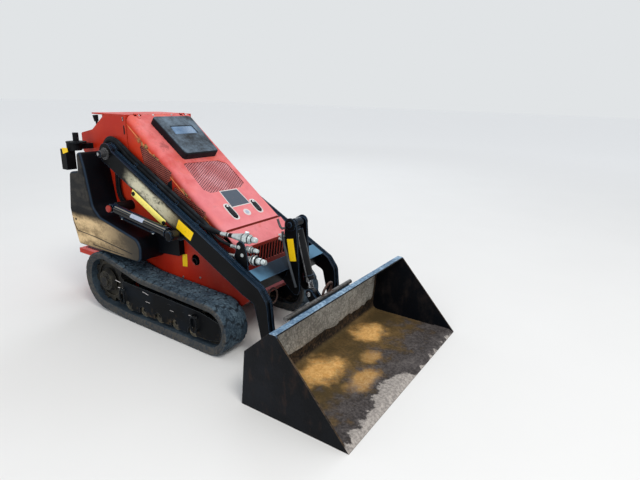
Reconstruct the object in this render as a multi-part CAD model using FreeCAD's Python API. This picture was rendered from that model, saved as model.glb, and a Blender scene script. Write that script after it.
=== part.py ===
import FreeCAD, Part
import math
import os

V = FreeCAD.Vector

# Stand-on tracked mini loader, sizes in millimetres.
# Working frame: X forward to the bucket, Y to the left, Z up, ground at Z = 0.
# Fits and steel
gap = 0.3
pin_clear = 0.05
swing_gap = 5.0
steel = 8.0
sheet = 3.0

# Body: widths are half widths from the middle, heights and lengths build on one another
body_half = 247.0
belly_z = 118.0
floor_rise = 204.0
seam_x = -320.0
dash_length = 332.0
pad_reach = 135.0
rear_reach = 277.0
nose_rise = 226.0
nose_reach = 98.0
front_reach = 89.0
front_drop = 29.0

# Hood
hood_inset = 3.0
hood_length = 747.0
hood_front_rise = 87.0
hood_lip = 10.0
skirt_depth = 379.0
skirt_front = 37.0
hood_round = 38.0

# Tracks
belt_clear = 9.0
belt_width = 172.0
belt_thick = 30.0
lug_height = 14.0
lug_count = 38
lug_root = 56.0
lug_tip = 48.0
sprocket_ahead = 260.0
sprocket_lift = 14.0
sprocket_r = 142.0
track_base = 890.0
idler_r = 101.0
roller_r = 42.0
roller_ahead = 195.0
roller_clear = 8.0
roller_count = 5
sag_back = 35.0
sag_rise = 63.0
sag_r = 600.0

# Side tanks
tank_inset = 8.0
tank_clear = 12.0
tank_reach = 362.0
tank_round = 18.0
tank_step_out = 37.0

# Lift arms
arm_clear = 43.0
arm_width = 46.0
pivot_back = 93.0
pivot_rise = 306.0
dash_rise = 222.0
pad_drop = 7.0
arm_eye_r = 60.0
arm_below = 57.0
arm_above = 41.0
arm_plate = 10.0
arm_pin_r = 20.0
knee_reach = 223.0
knee_z = 413.8
leg_lean = 52.0
tilt_pin_z = 135.0
tilt_pin_r = 15.0
tilt_boss_r = 29.0
tilt_ear = 28.0
leg_end_r = 36.0
cross_size = 85.0
cross_wall = 6.0
cross_back = 80.0
cross_up = 5.0

# Lift cylinders
lift_space = 36.0
lift_base_ahead = 84.0
lift_base_rise = 273.0
lift_eye_along = 705.0
lift_eye_down = 58.0
lift_barrel_r = 27.0
lift_rod_r = 16.0
lift_retract = 12.0
lift_pin_r = 14.0

# Tilt cylinder and mast
mast_ahead = 67.0
mast_rise = 265.0
mast_half_out = 52.0
mast_plate = 12.0
mast_pin_r = 16.0
tilt_eye_ahead = 38.0
tilt_eye_rise = 175.0
tilt_barrel_r = 28.0
tilt_rod_r = 15.0
tilt_rod_pin_r = 13.0
tilt_retract = 41.0
rod_eye_r = 26.0
eye_room = 7.0
bore_room = 8.0
bore_end = 48.0

# Bucket and attachment plate
bucket_half = 628.0
bucket_ahead = 93.0
bucket_depth = 557.0
bucket_height = 397.0
bucket_wall = 8.0
bucket_lip = 34.0
lip_reach = 157.0
edge_thick = 14.0
edge_depth = 120.0
ear_clear = 6.0
plate_thick = 12.0
plate_low_z = 52.0
top_bar_r = 12.0
top_bar_over = 16.0
back_lean = 20.0
back_knee_z = 271.0

# Operator platform
platform_rise = 144.0
platform_length = 285.0
platform_inset = 9.0
platform_rim = 34.0
platform_plate = 6.0
hinge_tube_r = 9.0
hinge_tube_half = 90.0
hinge_pin_r = 5.0

# Widths
side_in = body_half - steel
hood_half = body_half - hood_inset
belt_half_in = body_half + belt_clear
belt_half_out = belt_half_in + belt_width
tank_half_out = belt_half_out - tank_inset
arm_half_in = body_half + arm_clear
arm_half_out = arm_half_in + arm_width
lift_y = arm_half_out + lift_space
plate_half = arm_half_in - ear_clear
top_bar_half = plate_half + top_bar_over
platform_half = body_half - platform_inset

# Heights
floor_z = belly_z + floor_rise
platform_z = belly_z + platform_rise
nose_z = floor_z + nose_rise
front_tip_z = floor_z - front_drop
hood_front_z = nose_z + hood_front_rise
skirt_front_z = hood_front_z - skirt_front
track_build = belt_thick + lug_height
sprocket_z = sprocket_r + track_build + sprocket_lift
roller_z = roller_r + track_build
idler_z = idler_r + track_build
sag_z = sprocket_z + sag_rise
tank_floor_z = sprocket_z + sprocket_r + track_build + tank_clear
lift_base_z = tank_floor_z + lift_base_rise
arm_pivot_z = lift_base_z + pivot_rise
dash_z = arm_pivot_z + dash_rise
pad_z = arm_pivot_z - pad_drop
skirt_rear_z = dash_z - skirt_depth

# Lengths
arm_pivot_x = seam_x - pivot_back
rear_x = arm_pivot_x - rear_reach
dash_tip_x = seam_x - dash_length
pad_x = dash_tip_x - pad_reach
hood_front_x = seam_x + hood_length
nose_x = hood_front_x + nose_reach
front_tip_x = nose_x + front_reach
knee_x = nose_x + knee_reach
tilt_pin_x = knee_x + leg_lean
bucket_back_x = tilt_pin_x + bucket_ahead
bucket_tip_x = bucket_back_x + bucket_depth
bucket_lip_x = bucket_back_x + lip_reach
tilt_eye_x = tilt_pin_x + tilt_eye_ahead
tilt_eye_z = tilt_pin_z + tilt_eye_rise
sprocket_x = rear_x + sprocket_ahead
idler_x = sprocket_x + track_base
roller_first_x = sprocket_x + roller_ahead
roller_last_x = idler_x - math.sqrt((idler_r + roller_r + roller_clear) ** 2 - (idler_z - roller_z) ** 2)
sag_x = (sprocket_x + idler_x) / 2 - sag_back
tank_front_x = arm_pivot_x + tank_reach
lift_base_x = arm_pivot_x + lift_base_ahead
platform_hinge_x = rear_x - hinge_tube_r - swing_gap
platform_hinge_z = platform_z - platform_plate / 2
platform_tip_x = platform_hinge_x - platform_length
mid_x = (bucket_tip_x + platform_tip_x) / 2

# Direction of the arms: their upper edge meets the knee
knee_run = math.hypot(knee_x - arm_pivot_x, arm_pivot_z - knee_z)
arm_slope = math.atan2(arm_pivot_z - knee_z, knee_x - arm_pivot_x) + math.asin(arm_above / knee_run)
arm_reach = math.sqrt(knee_run ** 2 - arm_above ** 2)
slope_x = math.cos(arm_slope)
slope_z = math.sin(arm_slope)
parts = {}


def along_arm(distance, across):
    # Point at a distance from the pivot down the arm, moved across it (up is positive).
    return V(arm_pivot_x + distance * slope_x + across * slope_z, 0,
             arm_pivot_z - distance * slope_z + across * slope_x)


cross_at = along_arm(arm_reach - cross_back, cross_up)
cross_x = cross_at.x
cross_z = cross_at.z
mast_top_x = cross_x + mast_ahead
mast_top_z = cross_z + mast_rise
lift_eye_x = along_arm(lift_eye_along, -lift_eye_down).x
lift_eye_z = along_arm(lift_eye_along, -lift_eye_down).z


# Shape helpers
def box(x0, x1, y0, y1, z0, z1):
    return Part.makeBox(x1 - x0, y1 - y0, z1 - z0, V(x0, y0, z0))


def rod_y(x, z, radius, y0, y1):
    return Part.makeCylinder(radius, y1 - y0, V(x, y0, z), V(0, 1, 0))


def rod_between(a, b, radius):
    return Part.makeCylinder(radius, (b - a).Length, a, b - a)


def rounded(rows):
    # Rows are (x, z, corner radius); a corner with a radius becomes a tangent arc.
    edges = []
    starts = []
    ends = []
    mids = []
    total = len(rows)
    for i, (x, z, radius) in enumerate(rows):
        here = V(x, 0, z)
        back = V(rows[i - 1][0], 0, rows[i - 1][1]) - here
        ahead = V(rows[(i + 1) % total][0], 0, rows[(i + 1) % total][1]) - here
        back.normalize()
        ahead.normalize()
        half = back.getAngle(ahead) / 2
        if radius > 0:
            reach = radius / math.tan(half)
            bisector = back + ahead
            bisector.normalize()
            centre = here + bisector * (radius / math.sin(half))
            starts.append(here + back * reach)
            ends.append(here + ahead * reach)
            mids.append(centre - bisector * radius)
        else:
            starts.append(here)
            ends.append(here)
            mids.append(None)
    for i in range(total):
        if mids[i] is not None:
            edges.append(Part.Arc(starts[i], mids[i], ends[i]).toShape())
        after = starts[(i + 1) % total]
        if (after - ends[i]).Length > 1e-6:
            edges.append(Part.LineSegment(ends[i], after).toShape())
    return Part.Wire(edges)


def plate(rows, y0, y1):
    face = Part.Face(rounded(rows))
    face.translate(V(0, y0, 0))
    return face.extrude(V(0, y1 - y0, 0))


def mirrored(shape):
    return shape.mirror(V(0, 0, 0), V(0, 1, 0))


def fuse(shapes):
    return shapes[0].multiFuse(shapes[1:]).removeSplitter()


def save(name, shapes):
    shape = Part.makeCompound(shapes) if len(shapes) > 1 else shapes[0]
    shape = shape.copy()
    shape.translate(V(-mid_x, 0, 0))
    parts[name] = shape


def save_pair(name, shapes):
    # The right side is at negative Y; the left one is its mirror image.
    save(name + "_right", shapes)
    save(name + "_left", [mirrored(shape) for shape in shapes])


def tube(points, radius):
    # Straight runs joined by tangent arcs, each as large as its two runs allow.
    edges = []
    start = points[0]
    for i in range(1, len(points) - 1):
        here = points[i]
        back = points[i - 1] - here
        ahead = points[i + 1] - here
        reach = 0.45 * min(back.Length, ahead.Length)
        back.normalize()
        ahead.normalize()
        half = back.getAngle(ahead) / 2
        bisector = back + ahead
        bisector.normalize()
        bend = reach * math.tan(half)
        centre = here + bisector * (bend / math.cos(math.pi / 2 - half))
        edges.append(Part.LineSegment(start, here + back * reach).toShape())
        edges.append(Part.Arc(here + back * reach, centre - bisector * bend, here + ahead * reach).toShape())
        start = here + ahead * reach
    edges.append(Part.LineSegment(start, points[-1]).toShape())
    path = Part.Wire(edges)
    circle = Part.Wire([Part.makeCircle(radius, points[0], points[1] - points[0])])
    return path.makePipeShell([circle], True, False)


# Rubber tracks: a loop round signed circles, negative where the belt sags inwards
loop_circles = [
    # x, z, radius
    (sprocket_x, sprocket_z, sprocket_r),
    (roller_first_x, roller_z, roller_r),
    (idler_x, idler_z, idler_r),
    (sag_x, sag_z + sag_r, -sag_r),
]


def loop_normals():
    # Outward direction of each straight run, from circle i to circle i + 1.
    angles = []
    total = len(loop_circles)
    for i in range(total):
        x0, z0, r0 = loop_circles[i]
        x1, z1, r1 = loop_circles[(i + 1) % total]
        run = math.hypot(x1 - x0, z1 - z0)
        heading = math.atan2(z1 - z0, x1 - x0)
        angles.append(heading - math.acos((r0 - r1) / run))
    return angles


def loop_pieces(offset):
    # Arcs and straight runs in travel order: (kind, start, end, centre, radius, angle, sweep).
    pieces = []
    angles = loop_normals()
    total = len(loop_circles)
    for i in range(total):
        x, z, radius = loop_circles[i]
        reach = radius + offset
        arrive = angles[i - 1]
        leave = angles[i]
        sweep = (leave - arrive) % (2 * math.pi)
        if radius < 0:
            sweep = sweep - 2 * math.pi if sweep > math.pi else sweep
        a = V(x + reach * math.cos(arrive), 0, z + reach * math.sin(arrive))
        b = V(x + reach * math.cos(leave), 0, z + reach * math.sin(leave))
        pieces.append(("arc", a, b, V(x, 0, z), reach, arrive, sweep))
        x1, z1, r1 = loop_circles[(i + 1) % total]
        c = V(x1 + (r1 + offset) * math.cos(leave), 0, z1 + (r1 + offset) * math.sin(leave))
        pieces.append(("run", b, c, None, 0.0, leave, 0.0))
    return pieces


def loop_wire(offset):
    edges = []
    for kind, a, b, centre, reach, angle, sweep in loop_pieces(offset):
        if kind == "arc":
            half = angle + sweep / 2
            middle = centre + V(reach * math.cos(half), 0, reach * math.sin(half))
            edges.append(Part.Arc(a, middle, b).toShape())
        else:
            edges.append(Part.LineSegment(a, b).toShape())
    return Part.Wire(edges)


def loop_length():
    total = 0.0
    for kind, a, b, centre, reach, angle, sweep in loop_pieces(0.0):
        total += abs(reach * sweep) if kind == "arc" else (b - a).Length
    return total


def loop_point(distance, offset):
    # Point at a distance along the inner face, moved outwards by the offset.
    left = distance % loop_length()
    for kind, a, b, centre, reach, angle, sweep in loop_pieces(0.0):
        size = abs(reach * sweep) if kind == "arc" else (b - a).Length
        if left <= size:
            share = left / size
            if kind == "arc":
                turn = angle + sweep * share
                return centre + V(math.cos(turn), 0, math.sin(turn)) * (reach + offset)
            return a + (b - a) * share + V(math.cos(angle), 0, math.sin(angle)) * offset
        left -= size
    return a


def lug_wire(shift):
    pitch = loop_length() / lug_count
    points = []
    for i in range(lug_count):
        middle = (i + shift) * pitch
        points.append(loop_point(middle - lug_root / 2, belt_thick))
        points.append(loop_point(middle - lug_tip / 2, track_build))
        points.append(loop_point(middle + lug_tip / 2, track_build))
        points.append(loop_point(middle + lug_root / 2, belt_thick))
    return Part.makePolygon(points + [points[0]])


def make_track():
    middle = -(belt_half_out - belt_width / 2)
    inner = loop_wire(0.0)
    strips = []
    for shift, y0, y1 in ((0.0, -belt_half_out, middle), (0.5, middle, -belt_half_in)):
        face = Part.Face(lug_wire(shift)).cut(Part.Face(inner))
        face.translate(V(0, y0, 0))
        strips.append(face.extrude(V(0, y1 - y0, 0)))
    return strips[0].fuse(strips[1])


def roller_places():
    pitch = (roller_last_x - roller_first_x) / (roller_count - 1)
    return [roller_first_x + pitch * i for i in range(roller_count)]


frame_out = belt_half_out - 28.0
frame_in = belt_half_in + 20.0
frame_plate = 10.0
arch_r = 30.0
frame_below = 20.0
axle_r = 12.0
roller_flange = 29.0
roller_waist = 12.0
sprocket_recess = 22.0
sprocket_width = 74.0
frame_mount = 90.0


def frame_rows():
    low = roller_z - frame_below
    return [
        (sprocket_x + sprocket_r + 14, sprocket_z - 50.0, 12.0),
        (roller_first_x - 15.0, low, 10.0),
        (idler_x - 30.0, low, 20.0),
        (idler_x + idler_r - 18.0, idler_z - 55.0, 30.0),
        (idler_x + idler_r - 24.0, idler_z + 45.0, 35.0),
        (idler_x - 60.0, idler_z + 72.0, 20.0),
        (sag_x, sag_z - 34.0, 60.0),
        (sprocket_x + sprocket_r + 14, sag_z - 30.0, 15.0),
    ]


def make_track_frame():
    outer = plate(frame_rows(), -frame_out, -frame_out + frame_plate)
    inner = plate(frame_rows(), -frame_in - frame_plate, -frame_in)
    arches = []
    for x in roller_places():
        arches.append(rod_y(x, roller_z - 4, arch_r, -frame_out - 1, -frame_out + frame_plate + 1))
        arches.append(box(x - arch_r, x + arch_r, -frame_out - 1, -frame_out + frame_plate + 1, 0, roller_z - 4))
    outer = outer.cut(arches[0].multiFuse(arches[1:]))
    deck_z = roller_z + roller_r + 14.0
    deck = box(roller_first_x, idler_x - idler_r - 12.0, -frame_out + frame_plate, -frame_in - frame_plate,
               deck_z, deck_z + frame_plate)
    axles = [rod_y(x, roller_z, axle_r, -frame_out + 14, -frame_in) for x in roller_places()]
    mounts = [box(x, x + frame_mount, -frame_in, -body_half, deck_z - 30, deck_z + 40)
              for x in (roller_first_x + 10.0, roller_last_x - frame_mount + 4.0)]
    idler_axle = rod_y(idler_x, idler_z, axle_r + 4, -frame_out, -frame_in)
    return fuse([outer, inner, deck] + mounts + axles + [idler_axle])


def make_roller(x):
    bore = rod_y(x, roller_z, axle_r + pin_clear, -999, 999)
    outer = -frame_out + frame_plate + 6
    inner = -frame_in - frame_plate - 6
    drum = rod_y(x, roller_z, roller_r - gap, outer, inner)
    waist = rod_y(x, roller_z, roller_r, outer + roller_flange, inner - roller_flange)
    waist = waist.cut(rod_y(x, roller_z, roller_r - roller_waist, outer, inner))
    return drum.cut(waist).cut(bore)


def make_idler():
    inner = -frame_in - frame_plate - 4
    outer = -frame_out + frame_plate + 4
    tread = rod_y(idler_x, idler_z, idler_r - gap, outer + 12, inner - 12)
    hollow = rod_y(idler_x, idler_z, idler_r - 16, outer, inner)
    hub = rod_y(idler_x, idler_z, 38.0, outer, inner)
    web = rod_y(idler_x, idler_z, idler_r - 12, (outer + inner) / 2 - 6, (outer + inner) / 2 + 6)
    wheel = fuse([tread.cut(hollow), hub, web])
    return wheel.cut(rod_y(idler_x, idler_z, axle_r + 4 + pin_clear, -999, 999))


teeth = 12
tooth_depth = 20.0
hub_r = 72.0


def make_sprocket():
    points = []
    for i in range(teeth):
        for share, reach in ((0.0, sprocket_r - gap), (0.42, sprocket_r - gap), (0.58, sprocket_r - tooth_depth),
                             (0.84, sprocket_r - tooth_depth)):
            turn = 2 * math.pi * (i + share) / teeth
            points.append(V(sprocket_x + reach * math.cos(turn), 0, sprocket_z + reach * math.sin(turn)))
    face = Part.Face(Part.makePolygon(points + [points[0]]))
    face.translate(V(0, -frame_out + sprocket_recess, 0))
    wheel = face.extrude(V(0, sprocket_width, 0))
    dish = rod_y(sprocket_x, sprocket_z, sprocket_r - 38, -frame_out, -frame_out + 34)
    hub = Part.makeCone(hub_r - 12, hub_r, 26, V(sprocket_x, -belt_half_out + 20, sprocket_z), V(0, 1, 0))
    cap = rod_y(sprocket_x, sprocket_z, 30.0, -belt_half_out + 10, -frame_out + 34)
    wheel = fuse([wheel.cut(dish), hub, cap])
    return wheel


def make_motor():
    # Drive motor between the side plate and the sprocket, with its flange.
    face = -frame_out + sprocket_recess + sprocket_width + gap
    drum = rod_y(sprocket_x, sprocket_z, 58.0, face, -body_half)
    flange = rod_y(sprocket_x, sprocket_z, 78.0, -body_half - 12, -body_half)
    return fuse([drum, flange])


# Body
hood_angle = math.degrees(math.atan2(dash_z - hood_front_z, hood_front_x - seam_x))
seam_gap = swing_gap + 1.0

rear_low_z = belly_z + 97.0
rear_top_z = pad_z - 90.0
# The pan's underside, which the side plates follow
pan_rows = [
    # x, z
    (rear_x, rear_low_z),
    (rear_x + 90.0, belly_z),
    (front_tip_x - 284.0, belly_z),
    (front_tip_x - 184.0, front_tip_z - 128.0),
    (front_tip_x - 53.0, front_tip_z - 46.0),
]
side_rows = [
    # x, z, corner radius
    (front_tip_x, front_tip_z, 6),
    (pan_rows[4][0], pan_rows[4][1], 14),
    (pan_rows[3][0], pan_rows[3][1], 40),
    (pan_rows[2][0], pan_rows[2][1], 40),
    (pan_rows[1][0], pan_rows[1][1], 20),
    (rear_x, rear_low_z, 10),
    (rear_x, rear_top_z, 60),
    (pad_x, pad_z - 10.0, 14),
    (pad_x, pad_z + 100.0, 12),
    (dash_tip_x - 11.0, dash_z - 102.0, 26),
    (dash_tip_x + 101.0, dash_z - 24.0, 22),
    (dash_tip_x + 132.0, dash_z - 9.0, 0),
    (seam_x - swing_gap, dash_z - 9.0, 0),
    (seam_x - swing_gap, skirt_rear_z - seam_gap, 6),
    (hood_front_x, skirt_front_z - seam_gap, 6),
    (nose_x - 2.0, nose_z - 4.0, 4),
    (nose_x - 20.0, nose_z - 153.0, 20),
    (front_tip_x - 61.0, front_tip_z + 26.0, 8),
]
pipe_hole_x = nose_x - 317.0
pipe_hole_z = floor_z + 107.0
pipe_hole_r = 33.0
lash_hole_x = rear_x + 38.0
lash_hole_z = platform_z + 8.0
lash_hole_r = 12.5
pivot_boss_r = 30.0


def make_side_plate():
    # Side plate with the bosses and the drive motor welded and bolted to its outer face.
    side = plate(side_rows, -body_half, -side_in)
    side = side.cut(rod_y(pipe_hole_x, pipe_hole_z, pipe_hole_r, -body_half - 1, -side_in + 1))
    side = side.cut(rod_y(lash_hole_x, lash_hole_z, lash_hole_r, -body_half - 1, -side_in + 1))
    boss = rod_y(arm_pivot_x, arm_pivot_z, pivot_boss_r, -arm_half_in + gap, -body_half)
    return fuse([side, boss, make_motor(), make_lift_boss()])


def strip(a, b, thick):
    # Flat strip between two (x, z) points of an outline, its thickness to the left of the way.
    run = V(b[0] - a[0], 0, b[1] - a[1])
    run.normalize()
    side = V(-run.z, 0, run.x) * thick
    return plate([(a[0], a[1], 0), (b[0], b[1], 0), (b[0] + side.x, b[1] + side.z, 0),
                  (a[0] + side.x, a[1] + side.z, 0)], -side_in, side_in)


def make_tub():
    # Rear wall, engine floor, pan and toe between the side plates.
    rear = box(rear_x, rear_x + steel, -side_in, side_in, rear_low_z, rear_top_z)
    floor = box(rear_x + steel, nose_x - 55.0, -side_in, side_in, floor_z, floor_z + steel)
    pan = [strip(pan_rows[i], pan_rows[i + 1], steel) for i in range(len(pan_rows) - 1)]
    shelf = box(nose_x - 25.0, front_tip_x - 66.0, -side_in, side_in, front_tip_z + 7.0, front_tip_z + 7.0 + steel)
    toe = plate([(front_tip_x - 18.0, front_tip_z - 5.0, 0), (front_tip_x - 53.0, front_tip_z - 44.0, 0),
                 (front_tip_x - 66.0, front_tip_z - 44.0, 0), (front_tip_x - 66.0, front_tip_z + 15.0, 0),
                 (front_tip_x - 54.0, front_tip_z + 15.0, 0)], -side_in, side_in)
    return fuse([rear, floor, shelf, toe] + pan + make_platform_ears())


def make_lift_boss():
    y_eye = -lift_y + 20.0
    boss = rod_y(lift_base_x, lift_base_z, 30.0, y_eye + gap, -body_half)
    pin = rod_y(lift_base_x, lift_base_z, lift_pin_r, -lift_y - 30, y_eye + gap)
    return fuse([boss, pin])


def console_rows(inset):
    front = seam_x - swing_gap - inset
    low = pad_z + inset
    return [
        (pad_x + inset, low, 10),
        (pad_x + inset, pad_z + 96.0 - inset, 10),
        (dash_tip_x - 12.0 + inset, dash_z - 106.0 - inset, 20),
        (dash_tip_x + 100.0 + inset, dash_z - 29.0 - inset, 12),
        (front, dash_z - 16.0 - inset, 0),
        (front, pad_z + 110.0, 40),
        (seam_x - 150.0, low, 30),
    ]


def make_console():
    wide = side_in
    front = seam_x - swing_gap
    shell = plate(console_rows(0.0), -wide, wide).cut(plate(console_rows(sheet), -wide - 1, wide + 1))
    lid = plate([(dash_tip_x, dash_z - 8, 3), (dash_tip_x, dash_z, 3), (front, dash_z, 0),
                 (front, dash_z - 9, 0), (dash_tip_x + 132.0, dash_z - 9, 0)], -body_half, body_half)
    rib = box(dash_tip_x + 92.0, front, -wide, wide, dash_z - 40, dash_z - 7)
    rib = rib.cut(box(dash_tip_x + 96.0, front - sheet, -wide + 4, wide - 4, dash_z - 80, dash_z - 10))
    above = box(pad_x, seam_x, -wide - 1, wide + 1, dash_z - 9, dash_z + 50)
    console = fuse([fuse([shell, rib]).cut(above), lid])
    knuckles = []
    for y0, y1 in knuckle_places:
        reach = hinge_r + 2
        console = console.cut(box(hood_hinge_x - reach, seam_x, y0 - 1, y1 + 1, dash_z - reach, dash_z + reach))
        for a, b in ((y0, y0 + knuckle_end), (y1 - knuckle_end, y1)):
            knuckles.append(rod_y(hood_hinge_x, dash_z, hinge_r, a, b))
            knuckles.append(box(hood_hinge_x - reach - 20, hood_hinge_x, a, b, dash_z - 3, dash_z + 1.5))
    return fuse([console] + knuckles)


def hood_block(inset):
    # Wedge with rounded long edges, its lower side open when the inset block is cut from it.
    wide = hood_half - inset
    drop = 60.0 if inset else 0.0
    lean = inset * 1.25
    rows = [
        (seam_x + inset, skirt_rear_z - drop, 0),
        (seam_x + inset, dash_z - lean, 0),
        (hood_front_x - inset, hood_front_z - lean + inset * 0.75, 0),
        (hood_front_x - inset, skirt_front_z - drop, 0),
    ]
    block = plate(rows, -wide, wide)
    long_edges = []
    for edge in block.Edges:
        a, b = edge.Vertexes[0].Point, edge.Vertexes[1].Point
        if abs(a.y - b.y) < 1 and min(a.z, b.z) > skirt_front_z + 1 and abs(a.x - b.x) > 100:
            long_edges.append(edge)
    return block.makeFillet(hood_round - inset, long_edges)


vent_rows = {
    # side openings: along the slope, down from it, corner radius
    "rear": [(169, 61, 14), (469, 17, 10), (491, 131, 14), (275, 144, 22)],
    "front": [(527, 64, 10), (787, 15, 6), (789, 48, 6), (550, 137, 14)],
}
top_vent = [
    # along the slope, across, corner radius
    (425, -138, 20), (436, 128, 20), (470, 180, 22), (645, 180, 22), (671, 130, 20), (671, -118, 20), (640, -148, 20),
]


def on_slope(wire, low, high):
    # Prism between two heights over the sloping hood face, from an outline laid flat:
    # its X runs down the slope and its Z across to the right.
    prism = Part.Face(wire).extrude(V(0, high - low, 0))
    prism.translate(V(0, low, 0))
    prism.rotate(V(0, 0, 0), V(1, 0, 0), 90)
    prism.rotate(V(0, 0, 0), V(0, 1, 0), hood_angle)
    prism.translate(V(seam_x, 0, dash_z))
    return prism


def slope_point(along, up):
    slope = math.radians(hood_angle)
    return V(seam_x + along * math.cos(slope) + up * math.sin(slope), 0,
             dash_z - along * math.sin(slope) + up * math.cos(slope))


def vent_outline(rows):
    corners = []
    for along, down, radius in rows:
        corner = slope_point(along, -down)
        corners.append((corner.x, corner.z, radius))
    return corners


def flipped(rows):
    # Across is measured to the left, so it changes sign when laid down on the slope.
    return [(along, -across, radius) for along, across, radius in rows]


hinge_r = 6.0
knuckle_end = 12.0
hood_hinge_x = seam_x - swing_gap / 2
mesh_thick = 2.0
mesh_margin = 6.0
knuckle_length = 40.0
knuckle_out = hood_half - 54.0
knuckle_places = ((-knuckle_out, -knuckle_out + knuckle_length), (knuckle_out - knuckle_length, knuckle_out))


def make_hood():
    hood = hood_block(0.0).cut(hood_block(sheet))
    for rows in vent_rows.values():
        cutter = plate(vent_outline(rows), -body_half, body_half)
        hood = hood.cut(cutter)
    hood = hood.cut(on_slope(rounded(flipped(top_vent)), -30.0, 30.0))
    for y0, y1 in knuckle_places:
        hood = hood.cut(box(seam_x - 12, seam_x + hinge_r + 5, y0 - 5, y1 + 5, dash_z - hinge_r - 6, dash_z + 9))
    leaves = [hood_leaf(y0 + knuckle_end + gap, y1 - knuckle_end - gap) for y0, y1 in knuckle_places]
    return fuse([hood] + leaves)


def hood_leaf(y0, y1):
    # Middle knuckle and the strap that fastens it to the hood.
    rows = [(hood_hinge_x, dash_z - 3, 0)]
    for along, up in ((4.0, -sheet), (34.0, -sheet), (34.0, 2.0), (4.0, 2.0)):
        corner = slope_point(along, up)
        rows.append((corner.x, corner.z, 0))
    rows.append((hood_hinge_x, dash_z + 3, 0))
    return fuse([rod_y(hood_hinge_x, dash_z, hinge_r, y0, y1), plate(rows, y0, y1)])


def make_meshes():
    # Perforated sheets against the inside of the hood, following its rounded edges.
    skin = hood_block(sheet).cut(hood_block(sheet + mesh_thick))
    meshes = []
    for rows in vent_rows.values():
        grown = Part.Face(rounded(vent_outline(rows)).makeOffset2D(mesh_margin))
        prism = grown.extrude(V(0, -hood_half, 0))
        panel = skin.common(prism)
        meshes.append(panel)
        meshes.append(mirrored(panel))
    grown = rounded(flipped(top_vent)).makeOffset2D(mesh_margin)
    meshes.append(skin.common(on_slope(grown, -10.0, 10.0)))
    return meshes


cover_height = 45.0
cover_rows = [(68, -128, 24), (68, 165, 24), (398, 148, 20), (398, -112, 20)]
pane_rows = [(160, -62, 6), (160, 106, 6), (232, 108, 6), (232, -70, 6)]


def make_hood_cover():
    block = on_slope(rounded(flipped(cover_rows)), -5.0, cover_height)
    rim = [edge for edge in block.Edges if all(on_cover_top(v.Point) for v in edge.Vertexes)]
    block = block.makeFillet(9.0, rim)
    pane = on_slope(rounded(flipped(pane_rows)), cover_height - 4.0, cover_height + 5.0)
    return block.cut(pane).cut(hood_block(0.0))


def on_cover_top(point):
    origin = slope_point(0, cover_height)
    normal = slope_point(0, cover_height + 1) - origin
    return abs((point - origin).dot(normal)) < 0.1


def make_nose():
    wide = side_in
    start = hood_front_x + seam_gap
    panel = plate([(start, hood_front_z - hood_lip, 0), (nose_x, nose_z, 0), (nose_x, nose_z - 16, 0),
                   (nose_x - 4, nose_z - 16, 0), (nose_x - 4, nose_z - 2, 0),
                   (start, hood_front_z - hood_lip - 5, 0)], -wide, wide)
    return panel


slot_count = 24
slot_width = 9.0


def make_grille():
    wide = side_in
    top = nose_z - 14.0
    fold = nose_z - 153.0
    foot = nose_z - 203.0
    face = plate([(nose_x - 4 - gap, top, 0), (nose_x - 20, fold, 0), (nose_x - 5, foot, 0), (nose_x - 9, foot, 0),
                  (nose_x - 24, fold, 0), (nose_x - 8 - gap, top, 0)], -wide, wide)
    pitch = (2 * wide - 30) / slot_count
    slots = []
    for i in range(slot_count):
        y = -wide + 15 + pitch * (i + 0.5)
        slots.append(box(nose_x - 45, nose_x + 15, y - slot_width / 2, y + slot_width / 2, fold + 9, top - 12))
    return face.cut(slots[0].multiFuse(slots[1:]))


tank_rows = [
    # x, z, corner radius
    (arm_pivot_x - 135.0, arm_pivot_z - 2.0, 19),
    (arm_pivot_x - 107.0, arm_pivot_z - 92.0, 60),
    (arm_pivot_x - 63.0, lift_base_z - 10.0, 50),
    (arm_pivot_x - 4.0, lift_base_z - 62.0, 60),
    (tank_front_x - 24.0, lift_base_z - 139.0, 60),
    (tank_front_x, lift_base_z - 188.0, 45),
    (tank_front_x - 9.0, tank_floor_z, 35),
    (rear_x + 30.0, tank_floor_z, 20),
    (rear_x - 16.0, tank_floor_z + 142.0, 40),
    (rear_x - 29.0, tank_floor_z + 226.0, 40),
    (rear_x + 10.0, arm_pivot_z - 125.0, 24),
    (arm_pivot_x - 176.0, arm_pivot_z - 115.0, 16),
    (arm_pivot_x - 172.0, arm_pivot_z, 19),
]
# Lower inner step in front of the tank, between the side plate and the arm
step_rows = [
    # x, z, corner radius
    (tank_front_x - 60.0, lift_base_z - 72.0, 0),
    (tank_front_x + 168.0, lift_base_z - 92.0, 20),
    (tank_front_x + 174.0, lift_base_z - 228.0, 12),
    (tank_front_x - 60.0, lift_base_z - 246.0, 0),
]


def make_tank():
    tank = plate(tank_rows, -tank_half_out, -body_half - gap)
    rim = [edge for edge in tank.Edges if all(abs(v.Point.y + tank_half_out) < 0.1 for v in edge.Vertexes)]
    step = plate(step_rows, -body_half - tank_step_out, -body_half - gap)
    return fuse([tank.makeFillet(tank_round, rim), step])


canister_back = 66.0
canister_length = 56.0
canister_width = 60.0
canister_height = 124.0
canister_out = 105.0
collar_r = 43.0
collar_height = 44.0
lid_r = 58.0
neck_r = 17.0
neck_height = 56.0


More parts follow.
